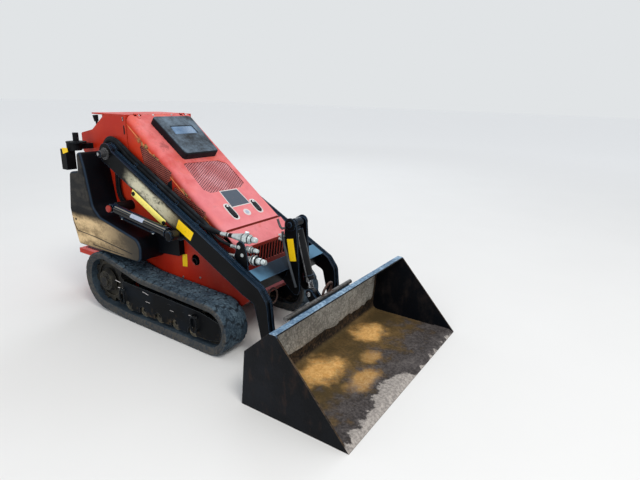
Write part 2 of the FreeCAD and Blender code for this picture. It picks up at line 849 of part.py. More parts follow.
def make_filler():
    # Filter canister behind the tank, its collar, lid and neck inboard of it, on a bracket.
    x0 = rear_x - canister_back
    y1 = -body_half - canister_out
    low = arm_pivot_z - 118.0
    top = low + canister_height
    canister = box(x0, x0 + canister_length, y1 - canister_width, y1, low, top)
    middle = V(rear_x - 12.0, y1, top - 8.0)
    collar = Part.makeCylinder(collar_r, collar_height, middle)
    middle += V(5.0, 12.0, collar_height)
    lid = Part.makeCylinder(lid_r, 8.0, middle)
    neck = Part.makeCylinder(neck_r, neck_height, middle + V(0, 0, 4.0))
    bracket = box(rear_x - 44.0, rear_x + 20.0, y1, -body_half, top - 2.0, top + collar_height - 14.0)
    return fuse([canister, collar, lid, neck, bracket])


engine_ahead = 490.0
engine_length = 440.0
engine_height = 410.0
engine_clear = 49.0


def make_engine():
    x0 = rear_x + engine_ahead
    half = side_in - engine_clear
    low = floor_z + steel
    return box(x0, x0 + engine_length, -half, half, low, low + engine_height)


def make_dash():
    # Instrument pod standing on the step of the console, facing the operator.
    half = side_in - 119.0
    pod = plate([(dash_tip_x - 108, pad_z + 90, 0), (dash_tip_x - 118, pad_z + 150, 14),
                 (dash_tip_x - 38, pad_z + 180, 14), (dash_tip_x - 24, pad_z + 100, 0)], -half, half)
    return pod.cut(plate(console_rows(0.0), -side_in, side_in))


def make_levers():
    levers = []
    deck = plate(console_rows(0.0), -side_in, side_in)
    x = dash_tip_x - 76.0
    for y in (-side_in + 74.0, side_in - 74.0):
        stick = rod_between(V(x, y, pad_z + 106), V(x - 13, y, pad_z + 174), 7.0)
        grip = Part.makeCone(13, 17, 38, V(x - 12.5, y, pad_z + 170), V(-0.19, 0, 0.98))
        foot = Part.makeCone(22, 12, 30, V(x, y, pad_z + 100))
        levers.append(fuse([stick, grip, foot]).cut(deck))
    return levers


grab_reach = 70.0
grab_rise = 40.0
grab_r = 12.0


def make_grab_bar():
    y = side_in - 49.0
    z = pad_z + grab_rise
    points = [V(pad_x, -y, z), V(pad_x - grab_reach, -y, z), V(pad_x - grab_reach, y, z), V(pad_x, y, z)]
    return tube_fixed(points, grab_r, 40.0)


def tube_fixed(points, radius, bend):
    # Bent bar with one bend radius.
    edges = []
    start = points[0]
    for i in range(1, len(points) - 1):
        here = points[i]
        back = points[i - 1] - here
        ahead = points[i + 1] - here
        back.normalize()
        ahead.normalize()
        half = back.getAngle(ahead) / 2
        reach = bend / math.tan(half)
        bisector = back + ahead
        bisector.normalize()
        middle = here + bisector * (bend / math.sin(half) - bend)
        edges.append(Part.LineSegment(start, here + back * reach).toShape())
        edges.append(Part.Arc(here + back * reach, middle, here + ahead * reach).toShape())
        start = here + ahead * reach
    edges.append(Part.LineSegment(start, points[-1]).toShape())
    circle = Part.Wire([Part.makeCircle(radius, points[0], points[1] - points[0])])
    return Part.Wire(edges).makePipeShell([circle], True, False)


def make_platform():
    tip = platform_tip_x
    near = platform_hinge_x - swing_gap - hinge_tube_r
    low = platform_z - platform_rim
    thick = platform_plate
    deck = box(tip, near, -platform_half, platform_half, platform_z - thick, platform_z)
    rim = box(tip, near, -platform_half, -platform_half + thick, low, platform_z - thick)
    back = box(tip, tip + thick, -platform_half, platform_half, low, platform_z - thick)
    knuckle = rod_y(platform_hinge_x, platform_hinge_z, hinge_tube_r, -hinge_tube_half, hinge_tube_half)
    tongue = box(near - 30, platform_hinge_x, -hinge_tube_half, hinge_tube_half, platform_z - thick, platform_z)
    bore = rod_y(platform_hinge_x, platform_hinge_z, hinge_pin_r + pin_clear, -999, 999)
    return fuse([deck, rim, mirrored(rim), back, knuckle, tongue]).cut(bore)


def make_platform_ears():
    # Two ears on the rear wall and the pin that the platform's tube turns on.
    shapes = [rod_y(platform_hinge_x, platform_hinge_z, hinge_pin_r, -hinge_tube_half - 12, hinge_tube_half + 12)]
    for y0 in (-hinge_tube_half - 12, hinge_tube_half + 2):
        shapes.append(rod_y(platform_hinge_x, platform_hinge_z, hinge_tube_r, y0, y0 + 10))
        shapes.append(box(platform_hinge_x, rear_x, y0, y0 + 10, platform_hinge_z - hinge_tube_r,
                          platform_hinge_z + hinge_tube_r))
    return shapes


# Lift arms
def arm_rows():
    top_rear = along_arm(0, arm_above)
    low_rear = along_arm(0, -arm_below)
    knee = along_arm(arm_reach, arm_above)
    heel = along_arm(arm_reach - 55, -arm_below)
    return [
        (top_rear.x, top_rear.z, 0),
        (knee.x, knee.z, 40),
        (tilt_pin_x - 3.0, knee.z - 64.0, 60),
        (tilt_pin_x + 12.0, tilt_pin_z + 80.0, 60),
        (tilt_pin_x + leg_end_r, tilt_pin_z, 0),
        (tilt_pin_x - leg_end_r, tilt_pin_z, 0),
        (tilt_pin_x - 55.0, tilt_pin_z + 80.0, 60),
        (tilt_pin_x - 84.0, tilt_pin_z + 195.0, 30),
        (heel.x - 12, heel.z + 6, 50),
        (low_rear.x, low_rear.z, 0),
    ]


def arm_profile(rows, y0, y1):
    beam = plate(rows, y0, y1)
    eye = rod_y(arm_pivot_x, arm_pivot_z, arm_eye_r, y0, y1)
    foot = rod_y(tilt_pin_x, tilt_pin_z, leg_end_r, y0, y1)
    return fuse([beam, eye, foot])


def make_arm():
    outer = arm_profile(arm_rows(), -arm_half_out, -arm_half_out + arm_plate)
    inner = arm_profile(arm_rows(), -arm_half_in - arm_plate, -arm_half_in)
    core_rows = rounded(arm_rows()).makeOffset2D(-6.0)
    core = Part.Face(core_rows)
    hollow = Part.Face(core_rows.makeOffset2D(-8.0))
    ring = core.cut(hollow)
    ring.translate(V(0, -arm_half_out + arm_plate, 0))
    ring = ring.extrude(V(0, arm_width - 2 * arm_plate, 0))
    hub = rod_y(arm_pivot_x, arm_pivot_z, arm_eye_r - 8, -arm_half_out, -arm_half_in)
    foot = rod_y(tilt_pin_x, tilt_pin_z, leg_end_r - 4, -arm_half_out, -arm_half_in)
    lug = plate([(lift_eye_x - 50, lift_eye_z + 60, 10), (lift_eye_x + 60, lift_eye_z + 20, 10),
                 (lift_eye_x + 30, lift_eye_z - 34, 30), (lift_eye_x - 30, lift_eye_z - 34, 30)],
                -arm_half_out, -arm_half_out + arm_plate)
    arm = fuse([outer, inner, ring, hub, foot, lug])
    arm = arm.cut(rod_y(arm_pivot_x, arm_pivot_z, arm_pin_r + pin_clear, -arm_half_out - 1, -arm_half_in + 1))
    pin = rod_y(tilt_pin_x, tilt_pin_z, tilt_pin_r, -arm_half_out - 8, -plate_half + tilt_ear + 2)
    return fuse([arm, pin])


def make_pivot_pin():
    pin = rod_y(arm_pivot_x, arm_pivot_z, arm_pin_r, -arm_half_out - 38, -arm_half_in + gap)
    washer = rod_y(arm_pivot_x, arm_pivot_z, 34.0, -arm_half_out - 8, -arm_half_out - gap)
    return fuse([pin, washer])


def make_crossmember():
    half = cross_size / 2
    core = half - cross_wall
    beam = box(-half, half, -arm_half_in, arm_half_in, -half, half)
    beam = beam.cut(box(-core, core, -arm_half_in, arm_half_in, -core, core))
    beam.rotate(V(0, 0, 0), V(0, 1, 0), math.degrees(arm_slope))
    beam.translate(V(cross_x, 0, cross_z))
    return beam


def cross_corner(ahead, up):
    half = cross_size / 2
    return V(cross_x + ahead * half * slope_x + up * half * slope_z, 0,
             cross_z - ahead * half * slope_z + up * half * slope_x)


def make_mast():
    top = cross_corner(1, 1)
    low = cross_corner(1, -1)
    rows = [
        (mast_top_x - 40, mast_top_z + 26, 30),
        (mast_top_x + 34, mast_top_z + 26, 30),
        (mast_top_x + 44, mast_top_z - 100, 60),
        (tilt_eye_x - 46, tilt_eye_z + 20, 20),
        (tilt_eye_x - 60, tilt_eye_z - 20, 20),
        (tilt_eye_x - 92, tilt_eye_z - 10, 20),
        (low.x, low.z, 0),
        (top.x, top.z, 0),
        (mast_top_x - 42, mast_top_z - 120, 60),
    ]
    near = plate(rows, -mast_half_out, -mast_half_out + mast_plate)
    pin = rod_y(mast_top_x, mast_top_z, mast_pin_r, -mast_half_out - 12, mast_half_out + 12)
    return fuse([near, mirrored(near), pin])


coupler_rows = [
    # back from the knee, across the arm, body radius
    (226.0, 178.0, 22.0),
    (192.0, 130.0, 16.0),
    (145.0, 84.0, 20.0),
]
bracket_rows = [
    # back from the knee, across the arm, corner radius
    (272, 154, 10), (256, 184, 8), (216, 207, 8), (183, 160, 14), (124, 44, 4), (124, 4, 4), (168, 4, 4), (236, 60, 10),
]


def hexagon(start, run, size, length):
    # Six-sided body from a start point along a unit direction in the XZ plane.
    side = V(-run.z, 0, run.x)
    corners = []
    for i in range(6):
        turn = math.radians(60 * i)
        corners.append(start + side * (size * math.cos(turn)) + V(0, size * math.sin(turn), 0))
    return Part.Face(Part.makePolygon(corners + corners[:1])).extrude(run * length)


def make_couplers():
    # Bracket on the arm's inner face with three quick couplers, each held by a stud.
    face = -arm_half_in + gap
    y = face + 23.0
    run = V(0.985, 0, -0.172)
    corners = [along_arm(arm_reach - back, across) for back, across, radius in bracket_rows]
    rows = [(corner.x, corner.z, row[2]) for corner, row in zip(corners, bracket_rows)]
    pieces = [plate(rows, face, face + 6)]
    for back, across, size in coupler_rows:
        middle = along_arm(arm_reach - back, across) + V(0, y, 0)
        pieces.append(rod_between(middle - run * 78, middle, size * 0.6))
        pieces.append(hexagon(middle - run * 30, run, size * 0.95, 16))
        pieces.append(hexagon(middle - run * 6, run, size, 24))
        pieces.append(rod_between(middle + run * 16, middle + run * 48, size * 0.86))
        pieces.append(rod_y(middle.x, middle.z, 7.0, face + 1, y))
    return fuse(pieces)


sleeve_r = 16.0
clip_thick = 3.0
clip_share = (0.16, 0.31, 0.45, 0.59)
sleeve_across = 44.0
sleeve_y = -arm_half_in + gap + clip_thick + sleeve_r + 1.0


def make_sleeve():
    # Hose bundle over the pivot and down the inner side of the right arm.
    points = []
    for distance, across in ((-100, -32), (-84, 28), (-34, 58), (40, 56), (130, sleeve_across),
                             (arm_reach - 460, sleeve_across), (arm_reach - 385, 127),
                             (arm_reach - 301, 153.4)):
        p = along_arm(distance, across)
        points.append(V(p.x, sleeve_y, p.z))
    return tube(points, sleeve_r)


def make_clips():
    # Straps that hold the hose bundle to the arm's inner face.
    clips = []
    for share in clip_share:
        distance = share * arm_reach
        a = along_arm(distance - 9, sleeve_across) + V(0, sleeve_y, 0)
        b = along_arm(distance + 9, sleeve_across) + V(0, sleeve_y, 0)
        ring = rod_between(a, b, sleeve_r + clip_thick).cut(rod_between(a - (b - a), b + (b - a), sleeve_r + gap))
        corners = [along_arm(distance + side * 9, across) for side, across in
                   ((-1, 6), (1, 6), (1, sleeve_across), (-1, sleeve_across))]
        leaf = Part.Face(Part.makePolygon(corners + corners[:1]))
        leaf.translate(V(0, -arm_half_in + gap, 0))
        clips.append(fuse([ring, leaf.extrude(V(0, clip_thick, 0))]))
    return clips


lock_height = 28.0
lock_start = 0.24
lock_end = 0.465


def make_lock_bar():
    low = -arm_below - gap - lock_height
    a = along_arm(lock_start * arm_reach, low)
    b = along_arm(lock_end * arm_reach, low)
    across = V(slope_z, 0, slope_x) * lock_height
    bar = Part.Face(Part.makePolygon([a, b, b + across, a + across, a]))
    bar.translate(V(0, -arm_half_out - 2, 0))
    return bar.extrude(V(0, 20, 0))


# Cylinders
def axis_of(x0, z0, x1, z1):
    run = V(x1 - x0, 0, z1 - z0)
    length = run.Length
    run.normalize()
    return run, length


def make_barrel(x0, z0, x1, z1, y, radius, rod_r, retract, pin_r, eye_half):
    run, length = axis_of(x0, z0, x1, z1)
    start = V(x0, y, z0)
    tail = run * (radius + 6)
    end = run * (length - rod_eye_r - retract - eye_room)
    body = rod_between(start + tail, start + end, radius)
    gland = rod_between(start + end - run * 26, start + end, radius + 2)
    bore = rod_between(start + run * bore_end, start + end + run, rod_r + 0.2)
    lug = rod_between(start + run * 8, start + tail + run * 4, radius * 0.62)
    eye = rod_y(x0, z0, pin_r + 11, y - eye_half, y + eye_half)
    barrel = fuse([body, gland, lug, eye]).cut(bore)
    return barrel.cut(rod_y(x0, z0, pin_r + pin_clear, y - 60, y + 60))


def make_rod(x0, z0, x1, z1, y, rod_r, retract, pin_r, eye_half, pin_low, pin_high):
    run, length = axis_of(x0, z0, x1, z1)
    start = V(x0, y, z0)
    inner = start + run * (bore_end + bore_room + retract)
    outer = start + run * (length - 6)
    shaft = rod_between(inner, outer, rod_r)
    eye = rod_y(x1, z1, rod_eye_r, y - eye_half, y + eye_half)
    pin = rod_y(x1, z1, pin_r, pin_low, pin_high)
    return fuse([shaft, eye, pin])


def make_lift_cylinder():
    barrel = make_barrel(lift_base_x, lift_base_z, lift_eye_x, lift_eye_z, -lift_y, lift_barrel_r, lift_rod_r,
                         lift_retract, lift_pin_r, 19.0)
    rod = make_rod(lift_base_x, lift_base_z, lift_eye_x, lift_eye_z, -lift_y, lift_rod_r, lift_retract,
                   lift_pin_r, 18.0, -lift_y - 26, -arm_half_out - 0.5)
    return barrel, rod


def make_tilt_cylinder():
    barrel = make_barrel(mast_top_x, mast_top_z, tilt_eye_x, tilt_eye_z, 0.0, tilt_barrel_r, tilt_rod_r,
                         tilt_retract, mast_pin_r, 26.0)
    rod = make_rod(mast_top_x, mast_top_z, tilt_eye_x, tilt_eye_z, 0.0, tilt_rod_r, tilt_retract,
                   tilt_rod_pin_r, 14.0, -15.5, 15.5)
    return barrel, rod


# Bucket
def back_x(z):
    # Outer face of the bucket's back, below its knee.
    return bucket_back_x + back_lean * z / back_knee_z


eye_ear_y = 16.0
eye_ear_thick = 12.0


def make_attach_plate():
    # Plate on the bucket's back with its top bar, the arms' ears and the tilt rod's ears.
    low = plate_low_z
    high = back_knee_z + 12.0
    panel = plate([(back_x(low) - plate_thick, low, 0), (back_x(high) - plate_thick, high, 0),
                   (back_x(back_knee_z), high, 0), (back_x(back_knee_z), back_knee_z, 0), (back_x(low), low, 0)],
                  -plate_half, plate_half)
    sunk = plate_thick / 2
    ears = []
    for y in (-plate_half, plate_half - tilt_ear):
        ear = plate([(tilt_pin_x - 4, tilt_pin_z - tilt_boss_r, 0),
                     (back_x(tilt_pin_z - 59) - sunk, tilt_pin_z - 59, 0),
                     (back_x(tilt_pin_z + 95) - sunk, tilt_pin_z + 95, 0),
                     (tilt_pin_x - 4, tilt_pin_z + tilt_boss_r, 0)], y, y + tilt_ear)
        hole = rod_y(tilt_pin_x, tilt_pin_z, tilt_pin_r + pin_clear, y - 1, y + tilt_ear + 1)
        ears.append(fuse([ear, rod_y(tilt_pin_x, tilt_pin_z, tilt_boss_r, y, y + tilt_ear)]).cut(hole))
    for y in (-eye_ear_y - eye_ear_thick, eye_ear_y):
        ear = plate([(tilt_eye_x + 8, tilt_eye_z + 22.6, 0),
                     (back_x(tilt_eye_z - 40) - sunk, tilt_eye_z - 40, 0),
                     (back_x(tilt_eye_z - 140) - sunk, tilt_eye_z - 140, 0),
                     (tilt_eye_x - 23, tilt_eye_z - 6.8, 0)], y, y + eye_ear_thick)
        ears.append(fuse([ear, rod_y(tilt_eye_x, tilt_eye_z, 24.0, y, y + eye_ear_thick)]))
    bar = rod_y(bucket_back_x + 3, back_knee_z + 20, top_bar_r, -top_bar_half, top_bar_half)
    return fuse([panel, bar] + ears)


def bucket_rows():
    return [
        (bucket_back_x, 0.0, 0),
        (bucket_back_x + back_lean, back_knee_z, 0),
        (bucket_lip_x, bucket_height, 0),
        (bucket_lip_x + bucket_lip, bucket_height, 0),
        (bucket_tip_x, 0.0, 0),
    ]


def make_bucket():
    wall = bucket_wall
    side = plate(bucket_rows(), -bucket_half, -bucket_half + wall)
    end_x = bucket_tip_x - edge_depth
    rows = [
        (bucket_back_x, 0.0, 0),
        (bucket_back_x + back_lean, back_knee_z, 0),
        (bucket_lip_x, bucket_height, 0),
        (bucket_lip_x + bucket_lip, bucket_height, 0),
        (bucket_lip_x + bucket_lip, bucket_height - wall, 0),
        (bucket_lip_x + 3, bucket_height - wall, 0),
        (bucket_back_x + back_lean + wall, back_knee_z - 3, 0),
        (bucket_back_x + wall, wall, 40),
        (end_x, wall, 0),
        (end_x, 0.0, 0),
    ]
    shell = plate(rows, -bucket_half, bucket_half)
    return fuse([shell, side, mirrored(side)])


def make_edge():
    x0 = bucket_tip_x - edge_depth
    wide = bucket_half - bucket_wall
    return plate([(x0, 0, 0), (x0, edge_thick, 0), (bucket_tip_x - 30, edge_thick, 0), (bucket_tip_x, 0, 0)],
                 -wide, wide)


def build():
    save_pair("side_plate", [make_side_plate()])
    save("chassis_tub", [make_tub()])
    save("console", [make_console()])
    save("dash_pod", [make_dash()])
    save("control_levers", make_levers())
    save("grab_bar", [make_grab_bar()])
    save("nose_panel", [make_nose()])
    save("front_grille", [make_grille()])
    save("engine_block", [make_engine()])
    save_pair("tank", [make_tank()])
    save("filter_canister", [make_filler()])
    pin = make_pivot_pin()
    save("pivot_pins", [pin, mirrored(pin)])
    save_pair("track_belt", [make_track()])
    save_pair("track_frame", [make_track_frame()])
    save_pair("track_rollers", [make_roller(x) for x in roller_places()])
    save_pair("track_idler", [make_idler()])
    save_pair("track_sprocket", [make_sprocket()])
    save("hood", [make_hood()])
    save("hood_mesh", make_meshes())
    save("hood_cover", [make_hood_cover()])
    save("platform", [make_platform()])
    save_pair("lift_arm", [make_arm()])
    save("arm_crossmember", [make_crossmember()])
    save("mast", [make_mast()])
    save("aux_couplers", [make_couplers()])
    save("hose_sleeve", [make_sleeve()])
    save("hose_clips", make_clips())
    save("lock_bar", [make_lock_bar()])
    barrel, rod = make_lift_cylinder()
    save_pair("lift_barrel", [barrel])
    save_pair("lift_rod", [rod])
    barrel, rod = make_tilt_cylinder()
    save("tilt_barrel", [barrel])
    save("tilt_rod", [rod])
    save("attach_plate", [make_attach_plate()])
    save("bucket", [make_bucket()])
    save("cutting_edge", [make_edge()])


build()
os.makedirs("parts", exist_ok=True)
for name, shape in parts.items():
    shape.exportStep(os.path.join("parts", name + ".step"))
    bounds = shape.BoundBox
    print(name, "valid" if shape.isValid() else "INVALID", len(shape.Solids), round(shape.Volume / 1e6, 3), "litres",
          [round(v) for v in (bounds.XMin, bounds.XMax, bounds.YMin, bounds.YMax, bounds.ZMin, bounds.ZMax)])
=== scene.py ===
import math
import bpy
import bmesh
import numpy as np
from mathutils import Matrix


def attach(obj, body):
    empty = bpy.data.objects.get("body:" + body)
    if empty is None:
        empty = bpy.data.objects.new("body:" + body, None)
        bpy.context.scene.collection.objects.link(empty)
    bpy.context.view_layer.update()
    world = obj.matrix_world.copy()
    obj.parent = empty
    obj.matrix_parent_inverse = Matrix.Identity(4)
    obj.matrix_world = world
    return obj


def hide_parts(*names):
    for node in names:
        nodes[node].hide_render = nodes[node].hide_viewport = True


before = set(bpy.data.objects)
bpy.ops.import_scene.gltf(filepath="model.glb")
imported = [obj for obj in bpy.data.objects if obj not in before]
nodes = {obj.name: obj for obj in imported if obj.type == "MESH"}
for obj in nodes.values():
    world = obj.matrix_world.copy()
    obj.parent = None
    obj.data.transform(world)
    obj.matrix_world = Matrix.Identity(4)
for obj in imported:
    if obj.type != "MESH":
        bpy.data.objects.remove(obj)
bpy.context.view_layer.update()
print("frame loaded:", len(nodes), "nodes")

# Places below are millimetres from the seam of the machine's own axes: x forward, y left, z up.
middle = np.array([230.5, 0.0, 0.0])   # moves them into the frame
hoodSeam = (-320.0, 1199.0)            # upper rear edge of the hood, x and z
hoodSlope = math.atan2(564.0, 747.0)
armPivot = (-413.0, 977.0)
armSlope = 0.483434
armFace = 336.0                        # outer face of each lift arm
tankFace = 420.0                       # outer face of each tank
plateFace = 247.0                      # outer face of each side plate


def rgb(red, green, blue):
    # screen colour 0-255 to the linear numbers that shaders take
    values = []
    for part in (red, green, blue):
        part = part / 255.0
        values.append(part / 12.92 if part <= 0.04045 else ((part + 0.055) / 1.055) ** 2.4)
    return (*values, 1.0)


def onArm(along, across, y):
    # along the arm from its pivot, across it upwards
    c, s = math.cos(armSlope), math.sin(armSlope)
    return (armPivot[0] + along * c + across * s, y, armPivot[1] - along * s + across * c)


def onHood(along, left, up=0.0):
    # down the hood's slope from its seam, to the left, and off its face
    c, s = math.cos(hoodSlope), math.sin(hoodSlope)
    return (hoodSeam[0] + along * c + up * s, left, hoodSeam[1] - along * s + up * c)


cameraSetup = {
    "place": (1.9354, -1.9828, 1.3309),
    "heading": 122.98,
    "pitch": -16.82,
    "roll": 1.69,
    "lens": 26.69,
}


def makeCamera(setup):
    heading, pitch, roll = (math.radians(setup[k]) for k in ("heading", "pitch", "roll"))
    ahead = np.array([math.cos(heading) * math.cos(pitch), math.sin(heading) * math.cos(pitch), math.sin(pitch)])
    right = np.cross(ahead, (0.0, 0.0, 1.0))
    right /= np.linalg.norm(right)
    above = np.cross(right, ahead)
    side = right * math.cos(roll) + above * math.sin(roll)
    top = above * math.cos(roll) - right * math.sin(roll)
    data = bpy.data.cameras.new("camera")
    data.sensor_width = 36.0
    data.sensor_fit = "HORIZONTAL"
    data.lens = setup["lens"]
    data.clip_end = 200.0
    camera = bpy.data.objects.new("camera", data)
    bpy.context.scene.collection.objects.link(camera)
    turn = np.identity(4)
    turn[:3, 0], turn[:3, 1], turn[:3, 2], turn[:3, 3] = side, top, -ahead, setup["place"]
    camera.matrix_world = Matrix(turn.tolist())
    bpy.context.scene.camera = camera


lampSetup = {
    # name: (place, aimed at, width, watts, colour)
    "key": ((4.6, -2.4, 6.8), (0.2, 0.0, 0.4), 2.6, 250.0, (1.0, 0.97, 0.92)),
    "fill": ((1.0, -7.0, 3.2), (-0.2, 0.0, 0.5), 4.0, 60.0, (0.86, 0.92, 1.0)),
    "back": ((-3.2, 5.2, 5.6), (0.0, 0.0, 0.6), 3.6, 110.0, (0.86, 0.93, 1.0)),
}
worldLevel = 0.8


def makeLamps(setup):
    for name, (place, target, width, watts, colour) in setup.items():
        data = bpy.data.lights.new(name, "AREA")
        data.shape = "DISK"
        data.size = width
        data.energy = watts
        data.color = colour
        lamp = bpy.data.objects.new(name, data)
        bpy.context.scene.collection.objects.link(lamp)
        ahead = np.array(target) - np.array(place)
        ahead /= np.linalg.norm(ahead)
        right = np.cross(ahead, (0.0, 0.0, 1.0))
        right /= np.linalg.norm(right)
        turn = np.identity(4)
        turn[:3, 0], turn[:3, 1], turn[:3, 2], turn[:3, 3] = right, np.cross(right, ahead), -ahead, place
        lamp.matrix_world = Matrix(turn.tolist())


class Wire:
    # a socket that can be used in sums; each operator adds one Math node
    def __init__(self, finish, socket):
        self.finish = finish
        self.socket = socket

    def calc(self, operation, a, b):
        return self.finish.add("ShaderNodeMath", {"operation": operation}, {0: a, 1: b})

    def __add__(self, other):
        return self.calc("ADD", self, other)

    def __radd__(self, other):
        return self.calc("ADD", other, self)

    def __sub__(self, other):
        return self.calc("SUBTRACT", self, other)

    def __rsub__(self, other):
        return self.calc("SUBTRACT", other, self)

    def __mul__(self, other):
        return self.calc("MULTIPLY", self, other)

    def __rmul__(self, other):
        return self.calc("MULTIPLY", other, self)

    def __truediv__(self, other):
        return self.calc("DIVIDE", self, other)

    def __pow__(self, other):
        return self.calc("POWER", self, other)

    def __abs__(self):
        return self.calc("ABSOLUTE", self, 0.0)


class Finish:
    # one material: a Principled shader and the nodes that vary it
    def __init__(self, name, **fixed):
        self.material = bpy.data.materials.new(name)
        self.material.use_nodes = True
        self.tree = self.material.node_tree
        self.tree.nodes.clear()
        self.shader = self.tree.nodes.new("ShaderNodeBsdfPrincipled")
        output = self.tree.nodes.new("ShaderNodeOutputMaterial")
        self.tree.links.new(self.shader.outputs[0], output.inputs[0])
        for key, value in fixed.items():
            self.shader.inputs[key.replace("_", " ")].default_value = value
        self.place = self.add("ShaderNodeTexCoord", {}, {}, "Object")
        split = self.add("ShaderNodeSeparateXYZ", {}, {0: self.place})
        self.x, self.y, self.z = (Wire(self, split.socket.node.outputs[i]) for i in range(3))
        self.facing = self.add("ShaderNodeNewGeometry", {}, {}, "Normal")
        split = self.add("ShaderNodeSeparateXYZ", {}, {0: self.add("ShaderNodeTexCoord", {}, {}, "Normal")})
        self.nx, self.ny, self.nz = (Wire(self, split.socket.node.outputs[i]) for i in range(3))

    def add(self, kind, settings, inputs, output=0):
        # any node: its settings first, then its sockets' values or links
        node = self.tree.nodes.new(kind)
        for key, value in settings.items():
            setattr(node, key, value)
        for key, value in inputs.items():
            if isinstance(value, Wire):
                self.tree.links.new(value.socket, node.inputs[key])
            else:
                node.inputs[key].default_value = value
        return Wire(self, node.outputs[output])

    def noise(self, scale, detail=3.0, rough=0.55, stretch=(1.0, 1.0, 1.0), warp=0.0):
        where = self.place
        if stretch != (1.0, 1.0, 1.0):
            where = self.add("ShaderNodeMapping", {}, {0: self.place, 3: stretch})
        return self.add("ShaderNodeTexNoise", {}, {"Vector": where, "Scale": scale, "Detail": detail,
                                                   "Roughness": rough, "Distortion": warp})

    def step(self, value, low, high):
        # 0 below low, 1 above high, smooth between them
        return self.add("ShaderNodeMapRange", {"interpolation_type": "SMOOTHSTEP"},
                        {0: value, 1: low, 2: high, 3: 0.0, 4: 1.0})

    def band(self, value, low, high, soft):
        return self.step(value, low - soft, low + soft) * (1 - self.step(value, high - soft, high + soft))

    def mix(self, under, over, mask):
        return self.add("ShaderNodeMix", {"data_type": "RGBA"}, {0: mask, 6: under, 7: over}, 2)

    def above(self, value, floor=0.0):
        # the larger of the two
        return self.add("ShaderNodeMath", {"operation": "MAXIMUM"}, {0: value, 1: floor})

    def edges(self, radius, low=0.02, high=0.25):
        # near a sharp edge the rounded normal leaves the real one
        soft = self.add("ShaderNodeBevel", {"samples": 4}, {"Radius": radius})
        same = self.add("ShaderNodeVectorMath", {"operation": "DOT_PRODUCT"}, {0: soft, 1: self.facing}, "Value")
        return self.step(1 - same, low, high)

    def colour(self, value):
        self.give("Base Color", value)

    def rough(self, value):
        self.give("Roughness", value)

    def give(self, name, value):
        self.tree.links.new(value.socket, self.shader.inputs[name])

    def bump(self, height, depth, strength=1.0, roundEdge=0.0):
        inputs = {"Strength": strength, "Distance": depth, "Height": height}
        if roundEdge:
            inputs["Normal"] = self.add("ShaderNodeBevel", {"samples": 4}, {"Radius": roundEdge})
        self.give("Normal", self.add("ShaderNodeBump", {}, inputs))

    def grain(self, scale, depth, roundEdge=0.0):
        self.bump(self.noise(scale, 4.0), depth, 1.0, roundEdge)


def slopeMap(finish):
    # distance below the hood's sloping face, and along it, in millimetres
    x = finish.x * 1000 + float(middle[0] - hoodSeam[0])
    z = finish.z * 1000 - hoodSeam[1]
    c, s = math.cos(hoodSlope), math.sin(hoodSlope)
    return x * c - z * s, 0 - (x * s + z * c)


redSetup = {
    "side": ((176, 34, 12), (198, 54, 24)),
    "top": ((200, 74, 70), (226, 120, 118)),
    "low": (234, 148, 156),
    "chip": (58, 48, 40),
    "lip": (236, 140, 82),
    "ochre": (150, 126, 74),
    "round": 38.0,
}


